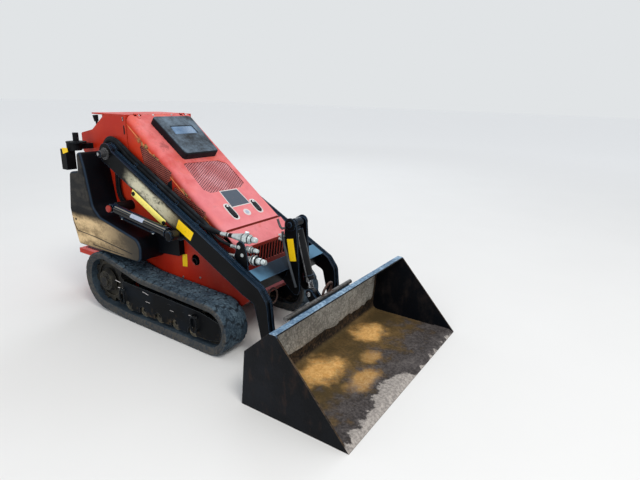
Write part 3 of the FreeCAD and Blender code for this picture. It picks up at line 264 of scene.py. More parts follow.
def makeRedPaint(name, setup):
    # sun-faded red: deep on the sides, coral where it faces up, that lighter top partly faded paint and partly a
    # painted sky reflection; chipped along the edges
    f = Finish(name, Specular_IOR_Level=0.2)
    cloud = f.noise(3.6, 3.0, 0.6)
    blot = f.noise(11.0, 4.0, 0.6)
    fine = f.noise(42.0, 5.0, 0.65)
    up = f.step(f.nz, 0.12, 0.8)
    side = f.mix(rgb(*setup["side"][0]), rgb(*setup["side"][1]), f.step(cloud, 0.35, 0.7))
    top = f.mix(rgb(*setup["top"][0]), rgb(*setup["top"][1]), f.step(cloud * 0.6 + blot * 0.5, 0.42, 0.68))
    top = f.mix(top, rgb(176, 84, 86), f.step(blot + fine * 0.3, 0.74, 0.88) * 0.55)
    # painted shade: the sides darken towards the front, where the lift arm shades them
    paintedFrontShade = f.step(f.x + f.z * 0.3, -0.05, 0.25) * 0.75
    side = f.mix(side, rgb(98, 26, 20), paintedFrontShade)
    # painted sky reflection: the top turns pinker towards the nose
    top = f.mix(top, rgb(*setup["low"]), f.step(f.x, 0.14, 0.22) * 0.5)
    warm = f.noise(7.0, 4.0, 0.6)
    top = f.mix(top, rgb(222, 96, 76), f.step(warm + fine * 0.15, 0.56, 0.72) * 0.6)
    smudge = f.step(blot * 0.7 + fine * 0.3, 0.6, 0.7) * 0.3
    top = f.mix(top, rgb(132, 62, 62), smudge)
    # the lighter top: partly sun-faded paint, partly a painted sky reflection
    paint = f.mix(side, top, up)
    dust = f.step(fine + cloud * 0.4, 0.7, 0.95) * 0.3
    paint = f.mix(paint, rgb(150, 108, 92), dust * (0.3 + up * 0.4))
    edge = f.edges(0.004)
    # painted highlight: the edges lighter and more orange
    paint = f.mix(paint, rgb(214, 112, 84), edge * 0.5)
    chips = f.step(f.noise(95.0, 4.0, 0.7) + edge * 0.2, 0.69, 0.71)
    paint = f.mix(paint, rgb(*setup["chip"]), chips * 0.85)
    if name == "redHood":
        along, down = slopeMap(f)
        # painted sky reflection: the slope turns pinker further down
        skyGlare = up * f.step(along + blot * 200.0, 480.0, 800.0) * 0.5
        paint = f.mix(paint, rgb(*setup["low"]), skyGlare)
        # painted highlight: a broken light orange line along the lip of the top sheet's fold
        flank = f.step(abs(f.ny), 0.45, 0.75)
        lip = f.band(down, 40.0, 46.0, 1.5) * flank
        paint = f.mix(paint, rgb(*setup["lip"]), lip * f.step(fine, 0.3, 0.5))
        ragged = f.noise(19.0, 5.0, 0.72)
        places = f.band(along, 150.0, 470.0, 50.0) + f.band(along, 580.0, 800.0, 40.0)
        worn = f.band(down + ragged * 30.0, 44.0, 82.0, 6.0) * flank * f.step(ragged, 0.47, 0.53) * places
        paint = f.mix(paint, f.mix(rgb(*setup["ochre"]), rgb(46, 42, 36), f.step(fine, 0.46, 0.54)), worn)
        # inside of the pressing, where the distance to its rounded corner's centre is short: painted near black as
        # shade
        aside = f.above(abs(f.y) * 1000 - (244.0 - setup["round"]))
        above = f.above(setup["round"] - down)
        reach = (aside * aside + above * above) ** 0.5
        inside = (1 - f.step(reach, setup["round"] - 2.6, setup["round"] - 1.4)) * (1 - f.step(along, 880.0, 890.0))
        paint = f.mix(paint, rgb(16, 12, 12), inside)
        height = f.step(down, 46.0, 48.0) * -0.6 + fine * 0.08
        f.bump(height, 0.0016, 1.0, 0.002)
    else:
        # bosses and motors beyond the side plates are black; the walls of the grille's slots are painted black as shade
        beyond = f.step(abs(f.y), 0.2485, 0.2495)
        black = beyond * (f.step(f.z, 0.6, 0.61) + (1 - f.step(f.z, 0.24, 0.25)))
        if name == "redGrille":
            black = f.step(abs(f.ny), 0.5, 0.7) + f.step(0 - f.nx, 0.2, 0.4)
        paint = f.mix(paint, rgb(12, 12, 14), black)
        f.grain(240.0, 0.00025, 0.002)
    f.colour(paint)
    f.rough(0.36 + up * 0.1 + fine * 0.16 + chips * 0.3)
    return f.material


meshSetup = {
    "pitch": 14.0,
    "finer": 2.0,
    "hole": 0.4,
    "sheet": ((222, 122, 124), (250, 172, 178)),
    "side": ((150, 66, 54), (182, 96, 82)),
    "behind": (76, 32, 36),
}


def makeMeshPaint(setup):
    # perforated sheet: staggered round holes at a fixed pitch, on the flank or on the slope
    f = Finish("redMesh", Specular_IOR_Level=0.3)
    along, down = slopeMap(f)
    flank = f.step(abs(f.ny), 0.5, 0.6)
    pitch = setup["pitch"] - flank * setup["finer"]
    u = along / pitch
    v = (down * flank + f.y * 1000 * (1 - flank)) / (pitch * 0.866)
    row = f.add("ShaderNodeMath", {"operation": "FLOOR"}, {0: v})
    odd = f.add("ShaderNodeMath", {"operation": "FLOORED_MODULO"}, {0: row, 1: 2.0})
    a = f.add("ShaderNodeMath", {"operation": "FRACT"}, {0: u + odd * 0.5}) - 0.5
    b = (f.add("ShaderNodeMath", {"operation": "FRACT"}, {0: v}) - 0.5) * 0.866
    hole = f.step((a * a + b * b) ** 0.5, setup["hole"] - 0.03, setup["hole"] + 0.03)
    cloud = f.noise(9.0)
    # the slope's sheet paler and pinker than the flank's: partly faded paint, partly a painted sky reflection
    sheet = f.mix(rgb(*setup["sheet"][0]), rgb(*setup["sheet"][1]), f.step(cloud, 0.35, 0.7))
    side = f.mix(rgb(*setup["side"][0]), rgb(*setup["side"][1]), f.step(cloud, 0.35, 0.7))
    # the holes are painted dark: painted shade of the hollow hood under them
    behind = f.mix(rgb(*setup["behind"]), rgb(10, 8, 8), flank)
    f.colour(f.mix(behind, f.mix(sheet, side, flank), hole))
    f.rough(0.5 + cloud * 0.2)
    return f.material


enamelSetup = {
    "base": ((2, 3, 5), (9, 11, 15)),
    "up": (22, 42, 60),
    "sky": (92, 136, 166),
    "edge": (84, 110, 138),
    "cream": (214, 208, 180),
    "line": (190, 180, 160),
}


def makeArmBlack(name, gloss, shine, smeared, setup, paintedStripes=False):
    # black enamel: a painted sky reflection where it faces up, painted blue highlights on the edges; the arms carry one
    # long cream smear, partly dust and partly a painted reflection
    f = Finish(name, Specular_IOR_Level=shine)
    cloud = f.noise(5.0, 4.0, 0.6)
    fine = f.noise(60.0, 5.0, 0.7)
    up = f.step(f.nz, 0.35, 0.85)
    edge = f.edges(0.005)
    paint = f.mix(rgb(*setup["base"][0]), rgb(*setup["base"][1]), f.step(cloud, 0.4, 0.75))
    # painted sky reflection on the faces that look up
    paint = f.mix(paint, rgb(*setup["up"]), up * (0.5 + f.step(cloud, 0.4, 0.7) * 0.5))
    film = f.step(fine * 0.6 + cloud * 0.5, 0.62, 0.85) * 0.1
    paint = f.mix(paint, rgb(84, 78, 66), film)
    if smeared:
        # painted sky reflection: the crossmember's top mirrors the sky, the arms' own edges hardly do
        crossing = 1 - f.step(abs(f.y), 0.285, 0.289)
        paint = f.mix(paint, rgb(*setup["sky"]), up * f.step(abs(f.y + 0.02) + cloud * 0.2, 0.2, 0.36) * crossing * 0.8)
        x = f.x * 1000 + float(middle[0] - armPivot[0])
        z = f.z * 1000 - armPivot[1]
        c, s = math.cos(armSlope), math.sin(armSlope)
        along = x * c - z * s
        across = x * s + z * c
        ragged = f.noise(13.0, 5.0, 0.7, (1.0, 1.0, 1.6))
        smear = f.band(along + ragged * 120.0, 300.0, 720.0, 70.0)
        smear = smear * f.band(across + ragged * 40.0 - 20.0, -44.0, 24.0, 12.0) * f.step(abs(f.ny), 0.8, 0.95)
        grit = f.step(ragged * 0.7 + fine * 0.4, 0.36, 0.58)
        tan = f.mix(rgb(*setup["cream"]), rgb(136, 118, 76), f.step(along, 460.0, 760.0))
        # partly dust, partly a painted reflection along the arms
        paint = f.mix(paint, tan, smear * grit * 0.9)
    if paintedStripes:
        # painted highlight: pale stripes along the barrels' upper side
        line = f.band(f.nz, 0.74, 0.86, 0.03) + f.band(f.nz, 0.44, 0.5, 0.03) * 0.6
        paint = f.mix(paint, rgb(*setup["line"]), line * f.step(abs(f.ny), 0.3, 0.4) * (0.4 + fine * 0.6) * 0.7)
    # painted highlight: blue lines along the edges
    paint = f.mix(paint, rgb(*setup["edge"]), edge * 0.65)
    scratch = f.step(f.noise(120.0, 3.0, 0.6, (0.12, 1.0, 1.0)) + edge * 0.1, 0.74, 0.76)
    paint = f.mix(paint, rgb(112, 112, 108), scratch * 0.6)
    f.colour(paint)
    f.rough(gloss + fine * 0.2 + film * 0.3)
    f.grain(150.0, 0.0003, 0.0025)
    return f.material


def makeTankPlastic():
    # moulded tank: navy black, tan dust on the outer face, thickest low at the rear
    f = Finish("tankPlastic", Specular_IOR_Level=0.12)
    outer = f.step(abs(f.ny), 0.75, 0.97) * f.step(abs(f.y), 0.39, 0.41)
    cloud = f.noise(3.2, 4.0, 0.65, (1.0, 1.0, 0.7))
    streak = f.noise(11.0, 4.0, 0.6, (0.5, 1.0, 1.5))
    fine = f.noise(70.0, 5.0, 0.7)
    low = 1 - f.step(f.z, 0.5, 0.7)
    ahead = f.step(f.x, -0.8, -0.3)
    base = f.mix(rgb(5, 7, 12), rgb(12, 15, 22), f.step(cloud, 0.4, 0.7))
    film = f.mix(rgb(30, 30, 30), rgb(64, 60, 54), f.step(streak, 0.4, 0.65))
    shade = f.mix(base, film, outer * f.step(cloud + fine * 0.25, 0.4, 0.7))
    tan = f.mix(rgb(146, 124, 92), rgb(222, 192, 146), f.step(streak * 0.7 + fine * 0.3, 0.38, 0.6))
    tan = f.mix(tan, rgb(64, 60, 54), ahead)
    shade = f.mix(shade, tan, outer * f.step(low * 0.8 + cloud * 0.35, 0.5, 0.78))
    # painted highlight: a blue line where the faces turn
    edge = f.band(abs(f.ny), 0.25, 0.75, 0.16)
    shade = f.mix(shade, rgb(46, 66, 88), edge * 0.45)
    f.colour(shade)
    f.rough(0.42 + outer * low * 0.35 + cloud * 0.1)
    f.grain(420.0, 0.0002)
    return f.material


def makePlastic(name, base, haze, hazeAmount, gloss=0.45):
    # moulded plastic or rubber with a hazy film where it faces up
    f = Finish(name, Specular_IOR_Level=0.12)
    cloud = f.noise(7.0, 4.0, 0.6)
    fine = f.noise(60.0, 5.0, 0.7)
    light = tuple(min(1.0, part * 1.9 + 0.004) for part in rgb(*base)[:3]) + (1.0,)
    shade = f.mix(rgb(*base), light, f.step(cloud, 0.4, 0.75))
    up = f.step(f.nz, 0.35, 0.85)
    dust = up * f.step(fine * 0.35 + cloud * 0.8, 0.4, 0.78) * hazeAmount
    shade = f.mix(shade, rgb(*haze), dust)
    edge = f.edges(0.003)
    # painted highlight: bluish along the edges
    shade = f.mix(shade, rgb(74, 88, 104), edge * 0.35)
    f.colour(shade)
    f.rough(gloss + fine * 0.2 + dust * 0.2)
    f.grain(500.0, 0.00018, 0.0015)
    return f.material


rubberSetup = {"low": (38, 47, 55), "high": (46, 60, 72), "worn": (84, 102, 114), "brown": (88, 78, 64)}


def makeTreadRubber(setup):
    # weathered rubber: slate blue on the lugs, darker in the grooves, brown dust at the sides
    f = Finish("treadRubber", Specular_IOR_Level=0.14)
    cloud = f.noise(9.0, 4.0, 0.6)
    fine = f.noise(85.0, 5.0, 0.7)
    rise = f.add("ShaderNodeAttribute", {"attribute_name": "rise"}, {}, "Fac")
    base = f.mix(rgb(*setup["high"]), rgb(*setup["worn"]), f.step(cloud * 0.4 + fine * 0.6, 0.44, 0.6))
    # painted shade: darker in the grooves between the lugs
    base = f.mix(rgb(*setup["low"]), base, f.step(rise, 0.05, 0.85))
    side = f.step(abs(f.ny), 0.6, 0.9)
    base = f.mix(base, rgb(*setup["brown"]), side * f.step(fine + cloud * 0.4, 0.5, 0.85) * 0.6)
    crumbs = f.step(f.noise(140.0, 3.0, 0.6), 0.68, 0.71) * (1 - rise * 0.7)
    base = f.mix(base, rgb(130, 116, 96), crumbs * 0.5)
    f.colour(base)
    f.rough(0.66 + fine * 0.25)
    f.grain(160.0, 0.0008)
    return f.material


def makeUndercarriage():
    # black plates with white scuffs and dry mud thrown up from below
    f = Finish("trackFrame", Specular_IOR_Level=0.08)
    cloud = f.noise(8.0, 4.0, 0.6)
    base = f.mix(rgb(3, 5, 8), rgb(12, 18, 25), f.step(cloud, 0.4, 0.7))
    # painted highlight: pale lines along the plates' edges
    base = f.mix(base, rgb(120, 126, 128), f.edges(0.004) * 0.55)
    low = 1 - f.step(f.z, 0.05, 0.16)
    mud = f.step(f.noise(26.0, 5.0, 0.7) + low * 0.16, 0.62, 0.74)
    base = f.mix(base, rgb(74, 62, 46), mud * 0.6)
    scuff = f.step(f.noise(34.0, 4.0, 0.7, (0.2, 1.0, 2.6)), 0.715, 0.735)
    base = f.mix(base, rgb(196, 196, 190), scuff * f.step(abs(f.ny), 0.8, 0.9))
    f.colour(base)
    f.rough(0.45 + cloud * 0.2 + mud * 0.2)
    f.grain(120.0, 0.0004, 0.002)
    return f.material


def makeWheelSteel(name, low, high, rim):
    # rollers, idlers and sprockets: worn steel under dry brassy dirt, the rims lighter partly as wear and partly as a
    # painted highlight
    f = Finish(name, Specular_IOR_Level=0.2)
    cloud = f.noise(14.0, 4.0, 0.6)
    fine = f.noise(90.0, 5.0, 0.7)
    base = f.mix(rgb(*low), rgb(*high), f.step(cloud * 0.5 + fine * 0.5, 0.42, 0.68))
    # painted highlight on the rims, partly worn steel
    worn = f.edges(0.005)
    base = f.mix(base, rgb(*rim), worn * 0.6)
    f.colour(base)
    f.give("Metallic", worn * 0.5)
    f.rough(0.55 + fine * 0.25)
    f.grain(130.0, 0.0006)
    return f.material


bucketTones = {
    "outside": ((8, 10, 14), (20, 23, 29)), "rust": (54, 38, 30), "cheek": ((6, 10, 16), (34, 30, 30)),
    "clay": ((84, 70, 46), (120, 96, 62)), "sunlitClay": ((226, 166, 92), (255, 208, 136)),
    "dark": ((52, 48, 48), (100, 94, 92)), "scraped": ((136, 130, 126), (186, 178, 170)),
    "foot": ((34, 30, 26), (82, 66, 50)), "lip": ((78, 106, 132), (160, 188, 210)),
}
sunlitClayPatches = [
    # dry clay on the bucket's floor, its bright gold partly a painted pool of sunlight: centre x and y, half lengths,
    # weight
    (1045, -205, 95, 150, 1.0),
    (1045, 305, 90, 115, 1.0),
    (1185, 75, 50, 70, 0.42),
    (1255, -150, 60, 120, 0.5),
]


def makeBucketSteel(tones):
    # outside black with rust streaks; inside dry mud, clay, rust and scraped steel by place
    f = Finish("bucketSteel", Specular_IOR_Level=0.1)
    tone = {key: (rgb(*value[0]), rgb(*value[1])) for key, value in tones.items() if key != "rust"}
    cloud = f.noise(3.5, 4.0, 0.6)
    blot = f.noise(11.0, 5.0, 0.65)
    fine = f.noise(70.0, 6.0, 0.7)
    speck = f.noise(190.0, 3.0, 0.6)
    streak = f.noise(26.0, 4.0, 0.6, (1.0, 1.0, 0.18))
    outside = f.mix(*tone["outside"], f.step(cloud, 0.38, 0.7))
    rust = f.step(streak * 0.6 + blot * 0.5, 0.58, 0.72)
    outside = f.mix(outside, rgb(*tones["rust"]), rust * 0.4)
    inner = f.step(0.6235 - abs(f.y), 0.0, 0.0015)
    facesIn = f.step(f.nx + f.nz, 0.3, 0.6) * (1 - f.step(f.z, 0.384, 0.388))
    floorMask = facesIn * (1 - f.step(f.z, 0.014, 0.03))
    wallMask = facesIn * f.step(f.z, 0.014, 0.03)
    cheek = f.step(abs(f.ny), 0.8, 0.95) * inner
    # floor: clay at the back, dark rust, then a scraped band at the front
    x = f.x - 0.663
    clay = f.mix(*tone["clay"], f.step(cloud * 0.6 + fine * 0.4, 0.42, 0.62))
    dark = f.mix(*tone["dark"], f.step(fine * 0.6 + blot * 0.4, 0.4, 0.65))
    floor = f.mix(clay, dark, f.step(blot * 0.9 + x * 1.2, 0.7, 0.98))
    # dry clay, brightened as a painted pool of sunlight
    sunlitClay = f.mix(*tone["sunlitClay"], f.step(fine * 0.6 + speck * 0.4, 0.4, 0.62))
    for placeX, placeY, halfX, halfY, weight in sunlitClayPatches:
        u = (f.x * 1000 - (placeX - float(middle[0]))) / halfX
        v = (f.y * 1000 - placeY) / halfY
        near = 1 - f.step((u * u + v * v) ** 0.5 + (blot - 0.5) * 1.6 + (fine - 0.5) * 0.3, 0.45, 1.35)
        floor = f.mix(floor, sunlitClay, near * weight)
    scraped = f.mix(*tone["scraped"], f.step(fine, 0.35, 0.65))
    # scraped band along the lip, wider where the bucket drags, narrow on the left
    wide = (1 - f.step(abs(f.y + 0.16), 0.04, 0.2)) * 0.05 - f.step(f.y, -0.02, 0.1) * 0.05
    floor = f.mix(floor, scraped, f.step(x + wide + (blot - 0.5) * 0.22, 0.5, 0.516) * 0.9)
    floor = f.mix(floor, rgb(164, 146, 116), f.step(speck, 0.68, 0.72) * 0.35)
    # back wall: a dark strip at its foot, under the dry mud
    wall = f.mix(*tone["foot"], f.step(fine * 0.6 + blot * 0.4, 0.42, 0.62))
    cheekPaint = f.mix(*tone["cheek"], f.step(blot * 0.6 + streak * 0.4, 0.45, 0.7))
    paint = f.mix(outside, cheekPaint, cheek)
    paint = f.mix(paint, wall, wallMask)
    paint = f.mix(paint, floor, floorMask)
    # lip on top and the cheeks' cut edges: scraped steel, its cool blue a painted sky reflection
    lip = f.step(f.nz, 0.5, 0.9) * f.step(f.z, 0.385, 0.395)
    paint = f.mix(paint, f.mix(*tone["lip"], f.step(fine * 0.7 + blot * 0.4, 0.48, 0.72)), lip)
    edge = f.edges(0.004)
    paint = f.mix(paint, rgb(128, 116, 104), edge * 0.45 * f.step(fine, 0.35, 0.6))
    f.colour(paint)
    f.rough(0.42 + fine * 0.2 + wallMask * 0.3)
    height = fine * 0.5 + speck * 0.25 + blot * wallMask
    f.bump(height, 0.004, 0.7, 0.002)
    return f.material


def makeScraped(name, dark, light, rustTone, metallic=0.5):
    # bare steel dragged over stones: fine scratches, rust between them
    f = Finish(name, Specular_IOR_Level=0.3)
    fine = f.noise(60.0, 5.0, 0.7)
    drag = f.noise(70.0, 5.0, 0.7, (0.35, 1.0, 1.0))
    base = f.mix(rgb(*dark), rgb(*light), f.step(drag * 0.6 + fine * 0.4, 0.36, 0.66))
    rust = f.step(fine, 0.52, 0.68)
    base = f.mix(base, rgb(*rustTone), rust * 0.7)
    f.colour(base)
    f.give("Metallic", (1 - rust) * metallic)
    f.rough(0.4 + rust * 0.35)
    f.grain(110.0, 0.0006, 0.0015)
    return f.material


def makeMetal(name, tint, rough, smear=0.12, metallic=1.0, blackPast=0.0):
    # plated or bare metal, clouded by oil and dust, the dark clouds also a painted dark reflection; near-white edges
    # are a painted highlight
    f = Finish(name, Metallic=metallic)
    cloud = f.noise(24.0, 4.0, 0.6)
    fine = f.noise(160.0, 4.0, 0.7)
    dullAndDarkReflection = tuple(part * 0.4 for part in rgb(*tint)[:3]) + (1.0,)
    base = f.mix(rgb(*tint), dullAndDarkReflection, f.step(cloud * 0.7 + fine * 0.3, 0.42, 0.7))
    # painted highlight: near white along the edges
    base = f.mix(base, rgb(250, 250, 248), f.edges(0.003) * 0.5)
    if blackPast:
        # the painted bracket lies past this distance on the right
        painted = 1 - f.step(f.y, 0 - blackPast, 0.0006 - blackPast)
        base = f.mix(base, rgb(8, 9, 12), painted)
        f.give("Metallic", (1 - painted) * metallic)
    f.colour(base)
    f.rough(rough + fine * smear)
    f.grain(260.0, 0.0002)
    return f.material


def makeRodFinish():
    # chromed shaft; the eyes and pins at the front are black
    f = Finish("rodChrome", Metallic=1.0)
    fine = f.noise(120.0, 4.0, 0.7)
    ahead = f.step(f.x * 1000 + 230.5, 150.0, 158.0) * (1 - f.step(f.x * 1000, 300.0, 310.0))
    low = f.step(f.x * 1000 + 230.5, 800.0, 810.0) * (1 - f.step(f.z, 0.338, 0.345))
    eye = ahead + low
    shade = f.mix(rgb(206, 208, 210), rgb(14, 15, 18), eye)
    f.colour(shade)
    f.give("Metallic", 1 - eye)
    f.rough(0.12 + fine * 0.1 + eye * 0.25)
    return f.material


def makeSticker(name, tint, worn, wornTint):
    # printed film or enamel: scuffed, its edge lifting dirt
    f = Finish(name, Specular_IOR_Level=0.3)
    fine = f.noise(120.0, 5.0, 0.7)
    blot = f.noise(30.0, 3.0)
    shade = f.mix(rgb(*tint), rgb(*wornTint), f.step(fine * 0.7 + blot * 0.4, 0.6, 0.72) * worn)
    f.colour(shade)
    f.rough(0.36 + fine * 0.25)
    f.grain(200.0, 0.00015)
    return f.material


def makeMudFinish():
    # dried clay with grit
    f = Finish("dryMud", Specular_IOR_Level=0.1)
    cloud = f.noise(8.0, 4.0, 0.65)
    fine = f.noise(80.0, 6.0, 0.75)
    shade = f.mix(rgb(120, 117, 110), rgb(190, 186, 176), f.step(fine * 0.7 + cloud * 0.35, 0.42, 0.66))
    shade = f.mix(shade, rgb(84, 74, 64), f.step(cloud + fine * 0.2, 0.66, 0.82) * 0.7)
    f.colour(shade)
    f.rough(0.85 + cloud * 0.1)
    f.grain(110.0, 0.002)
    return f.material


def makeFloorPaint():
    # pale floor, paler far away, where the lamps fade, so that it meets the background
    f = Finish("paleFloor", Specular_IOR_Level=0.05)
    tone = f.noise(1.4, 3.0)
    away = f.step((f.x * f.x + f.y * f.y) ** 0.5, 4.0, 13.0)
    f.colour(f.mix(f.mix(rgb(228, 227, 225), rgb(232, 231, 229), tone), rgb(253, 253, 252), away))
    f.rough(0.85 + tone * 0.1)
    return f.material


paints = {
    "redBody": makeRedPaint("redBody", redSetup),
    "redGrille": makeRedPaint("redGrille", redSetup),
    "redHood": makeRedPaint("redHood", redSetup),
    "redMesh": makeMeshPaint(meshSetup),
    "armBlack": makeArmBlack("armBlack", 0.26, 0.1, True, enamelSetup),
    "satinBlack": makeArmBlack("satinBlack", 0.36, 0.1, False, enamelSetup),
    "barrelBlack": makeArmBlack("barrelBlack", 0.12, 0.2, False, enamelSetup, True),
    "tankPlastic": makeTankPlastic(),
    "coverBlack": makePlastic("coverBlack", (16, 19, 24), (118, 136, 152), 0.85, 0.4),
    "paneGlass": makePlastic("paneGlass", (84, 110, 140), (150, 176, 200), 0.5, 0.2),
    "podBlack": makePlastic("podBlack", (8, 9, 12), (40, 46, 52), 0.4),
    "hoseRubber": makePlastic("hoseRubber", (12, 14, 17), (70, 80, 88), 0.4, 0.5),
    "greyHose": makePlastic("greyHose", (58, 62, 66), (110, 116, 120), 0.4, 0.4),
    "treadRubber": makeTreadRubber(rubberSetup),
    "trackFrame": makeUndercarriage(),
    "wheelSteel": makeWheelSteel("wheelSteel", (20, 21, 23), (60, 56, 46), (112, 106, 92)),
    # a lighter copy for the rollers: painted light on rollers that sit in the arches' shade
    "litRollerSteel": makeWheelSteel("litRollerSteel", (56, 54, 48), (128, 118, 98), (176, 166, 144)),
    "bucketSteel": makeBucketSteel(bucketTones),
    "dryMud": makeMudFinish(),
    "rustIron": makeScraped("rustIron", (60, 44, 40), (104, 84, 76), (92, 54, 42), 0.3),
    "barSteel": makeScraped("barSteel", (66, 66, 66), (126, 124, 122), (78, 64, 56), 0.5),
    "bareSteel": makeMetal("bareSteel", (204, 206, 208), 0.2),
    "rodChrome": makeRodFinish(),
    "zinc": makeMetal("zinc", (206, 216, 216), 0.2, 0.25, 0.6),
    "couplerZinc": makeMetal("couplerZinc", (206, 216, 216), 0.2, 0.25, 0.6, 0.2836),
    "darkPin": makeMetal("darkPin", (96, 96, 98), 0.4, 0.2, 0.8),
    "engineMetal": makeMetal("engineMetal", (70, 68, 66), 0.55, 0.2, 0.5),
    "yellowPaint": makeSticker("yellowPaint", (255, 238, 122), 0.5, (140, 118, 60)),
    "yellowLabel": makeSticker("yellowLabel", (248, 204, 10), 0.45, (120, 98, 24)),
    "slateLabel": makeSticker("slateLabel", (70, 80, 94), 0.5, (112, 100, 100)),
    "whiteLabel": makeSticker("whiteLabel", (212, 206, 204), 0.5, (170, 130, 126)),
    "blueWhiteLabel": makeSticker("blueWhiteLabel", (170, 178, 196), 0.6, (90, 96, 110)),
    "capRed": makeSticker("capRed", (150, 44, 34), 0.4, (80, 36, 30)),
}
print("finishes made:", len(paints))

nodeFinish = {
    "redBody": ["side_plate_right", "side_plate_left", "chassis_tub", "console", "nose_panel", "platform"],
    "redGrille": ["front_grille"],
    "redHood": ["hood"],
    "redMesh": ["hood_mesh"],
    "armBlack": ["lift_arm_right", "lift_arm_left", "arm_crossmember"],
    "satinBlack": ["mast", "attach_plate", "grab_bar", "hose_clips"],
    "barrelBlack": ["lift_barrel_right", "lift_barrel_left", "tilt_barrel"],
    "tankPlastic": ["tank_right", "tank_left"],
    "coverBlack": ["hood_cover"],
    "podBlack": ["dash_pod", "filter_canister", "control_levers"],
    "hoseRubber": ["hose_sleeve"],
    "trackFrame": ["track_frame_right", "track_frame_left"],
    "litRollerSteel": ["track_rollers_right", "track_rollers_left"],
    "wheelSteel": ["track_idler_right", "track_idler_left", "track_sprocket_right", "track_sprocket_left"],
    "bucketSteel": ["bucket", "cutting_edge"],
    "darkPin": ["pivot_pins"],
    "rodChrome": ["lift_rod_right", "lift_rod_left", "tilt_rod"],
    "couplerZinc": ["aux_couplers"],
    "engineMetal": ["engine_block"],
    "yellowPaint": ["lock_bar"],
    "treadRubber": ["track_belt_right", "track_belt_left"],
}


def dressNodes(table):
    for finish, names in table.items():
        for name in names:
            mesh = nodes[name].data
            if not mesh.materials:
                mesh.materials.append(paints[finish])
            for i in range(len(mesh.materials)):
                mesh.materials[i] = paints[finish]


def gridFaces(count, across, wrapRows, wrapColumns):
    # quads between neighbours of a grid of points, as rows of four indices
    index = np.arange(count * across).reshape(count, across)
    if wrapRows:
        index = np.vstack([index, index[:1]])
    if wrapColumns:
        index = np.hstack([index, index[:, :1]])
    quads = np.stack([index[:-1, :-1], index[1:, :-1], index[1:, 1:], index[:-1, 1:]], axis=-1)
    return quads.reshape(-1, 4).tolist()


def shell(points, wrapRows=False, wrapColumns=True, caps=True):
    # a grid of points as a closed surface; caps close its first and last row
    count, across = points.shape[:2]
    faces = gridFaces(count, across, wrapRows, wrapColumns)
    if caps and not wrapRows:
        faces.append(list(range(across)))
        faces.append(list(range((count - 1) * across, count * across)))
    return points.reshape(-1, 3), faces


def piece(name, shells, finish, body, sharp=35.0, attribute=None):
    # joins shells into one object whose place is in its mesh
    points = np.vstack([s[0] for s in shells])
    starts = np.cumsum([0] + [len(s[0]) for s in shells[:-1]])
    faces = [[int(start) + i for i in face] for start, s in zip(starts, shells) for face in s[1]]
    mesh = bpy.data.meshes.new(name)
    mesh.from_pydata(((points - middle) / 1000.0).tolist(), [], faces)
    if attribute is not None:
        layer = mesh.attributes.new(attribute[0], "FLOAT", "POINT")
        layer.data.foreach_set("value", attribute[1].astype(np.float32))
    work = bmesh.new()
    work.from_mesh(mesh)
    bmesh.ops.recalc_face_normals(work, faces=work.faces)
    work.to_mesh(mesh)
    work.free()
    mesh.polygons.foreach_set("use_smooth", np.ones(len(mesh.polygons), dtype=bool))
    mesh.set_sharp_from_angle(angle=math.radians(sharp))
    mesh.materials.append(paints[finish])
    made = bpy.data.objects.new(name, mesh)
    bpy.context.scene.collection.objects.link(made)
    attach(made, body)
    return made


def unit(vector):
    vector = np.asarray(vector, dtype=float)
    return vector / np.linalg.norm(vector)


def spline(points, count):
    # smooth curve through points: cubic between neighbours, slope from the points on either side
    p = np.asarray(points, dtype=float)
    p = np.vstack([2 * p[0] - p[1], p, 2 * p[-1] - p[-2]])
    t = np.linspace(0, len(p) - 3 - 1e-9, count)
    i = t.astype(int)
    f = (t - i)[:, None]
    a, b, c, d = p[i], p[i + 1], p[i + 2], p[i + 3]
    return 0.5 * (2 * b + (c - a) * f + (2 * a - 5 * b + 4 * c - d) * f ** 2 + (3 * b - a - 3 * c + d) * f ** 3)


def tubeAlong(path, radius, sides=10, closed=False):
    # a circle carried along a path, its radius one number or one for each point
    path = np.asarray(path, dtype=float)
    if closed:
        ahead = np.roll(path, -1, 0) - np.roll(path, 1, 0)
    else:
        ahead = np.gradient(path, axis=0)
    ahead /= np.linalg.norm(ahead, axis=1)[:, None]
    spread = path.max(0) - path.min(0)
    steady = np.eye(3)[int(np.argmin(spread))]
    side = np.cross(ahead, steady)
    side /= np.linalg.norm(side, axis=1)[:, None]
    other = np.cross(ahead, side)
    turn = np.linspace(0, 2 * math.pi, sides, endpoint=False)
    size = np.broadcast_to(np.asarray(radius, dtype=float), (len(path),))[:, None, None]
    ring = side[:, None] * np.cos(turn)[None, :, None] + other[:, None] * np.sin(turn)[None, :, None]
    return shell(path[:, None] + ring * size, wrapRows=closed, caps=not closed)


def turned(start, direction, profile, sides=16):
    # a profile of (along, radius) turned round an axis; six sides make a hexagon
    run = unit(direction)
    side = unit(np.cross(run, (0.31, 0.57, 0.76)))
    other = np.cross(run, side)
    turn = np.linspace(0, 2 * math.pi, sides, endpoint=False)
    along = np.array([p[0] for p in profile])[:, None, None]
    reach = np.array([p[1] for p in profile])[:, None, None]
    ring = side[None, None] * np.cos(turn)[None, :, None] + other[None, None] * np.sin(turn)[None, :, None]
    return shell(np.asarray(start, dtype=float) + run * along + ring * reach)


def boltHead(place, direction, across=8.0, tall=5.0, washer=True):
    # hexagon with a chamfered top on a round washer
    parts = []
    lift = 0.0
    if washer:
        rim = across * 1.15
        parts.append(turned(place, direction, [(-0.5, rim), (1.0, rim), (1.4, rim * 0.92)], 14))
        lift = 1.2
    parts.append(turned(place, direction, [(lift - 0.4, across * 0.85), (lift + tall * 0.75, across * 0.85),
                                           (lift + tall, across * 0.66)], 6))
    return parts


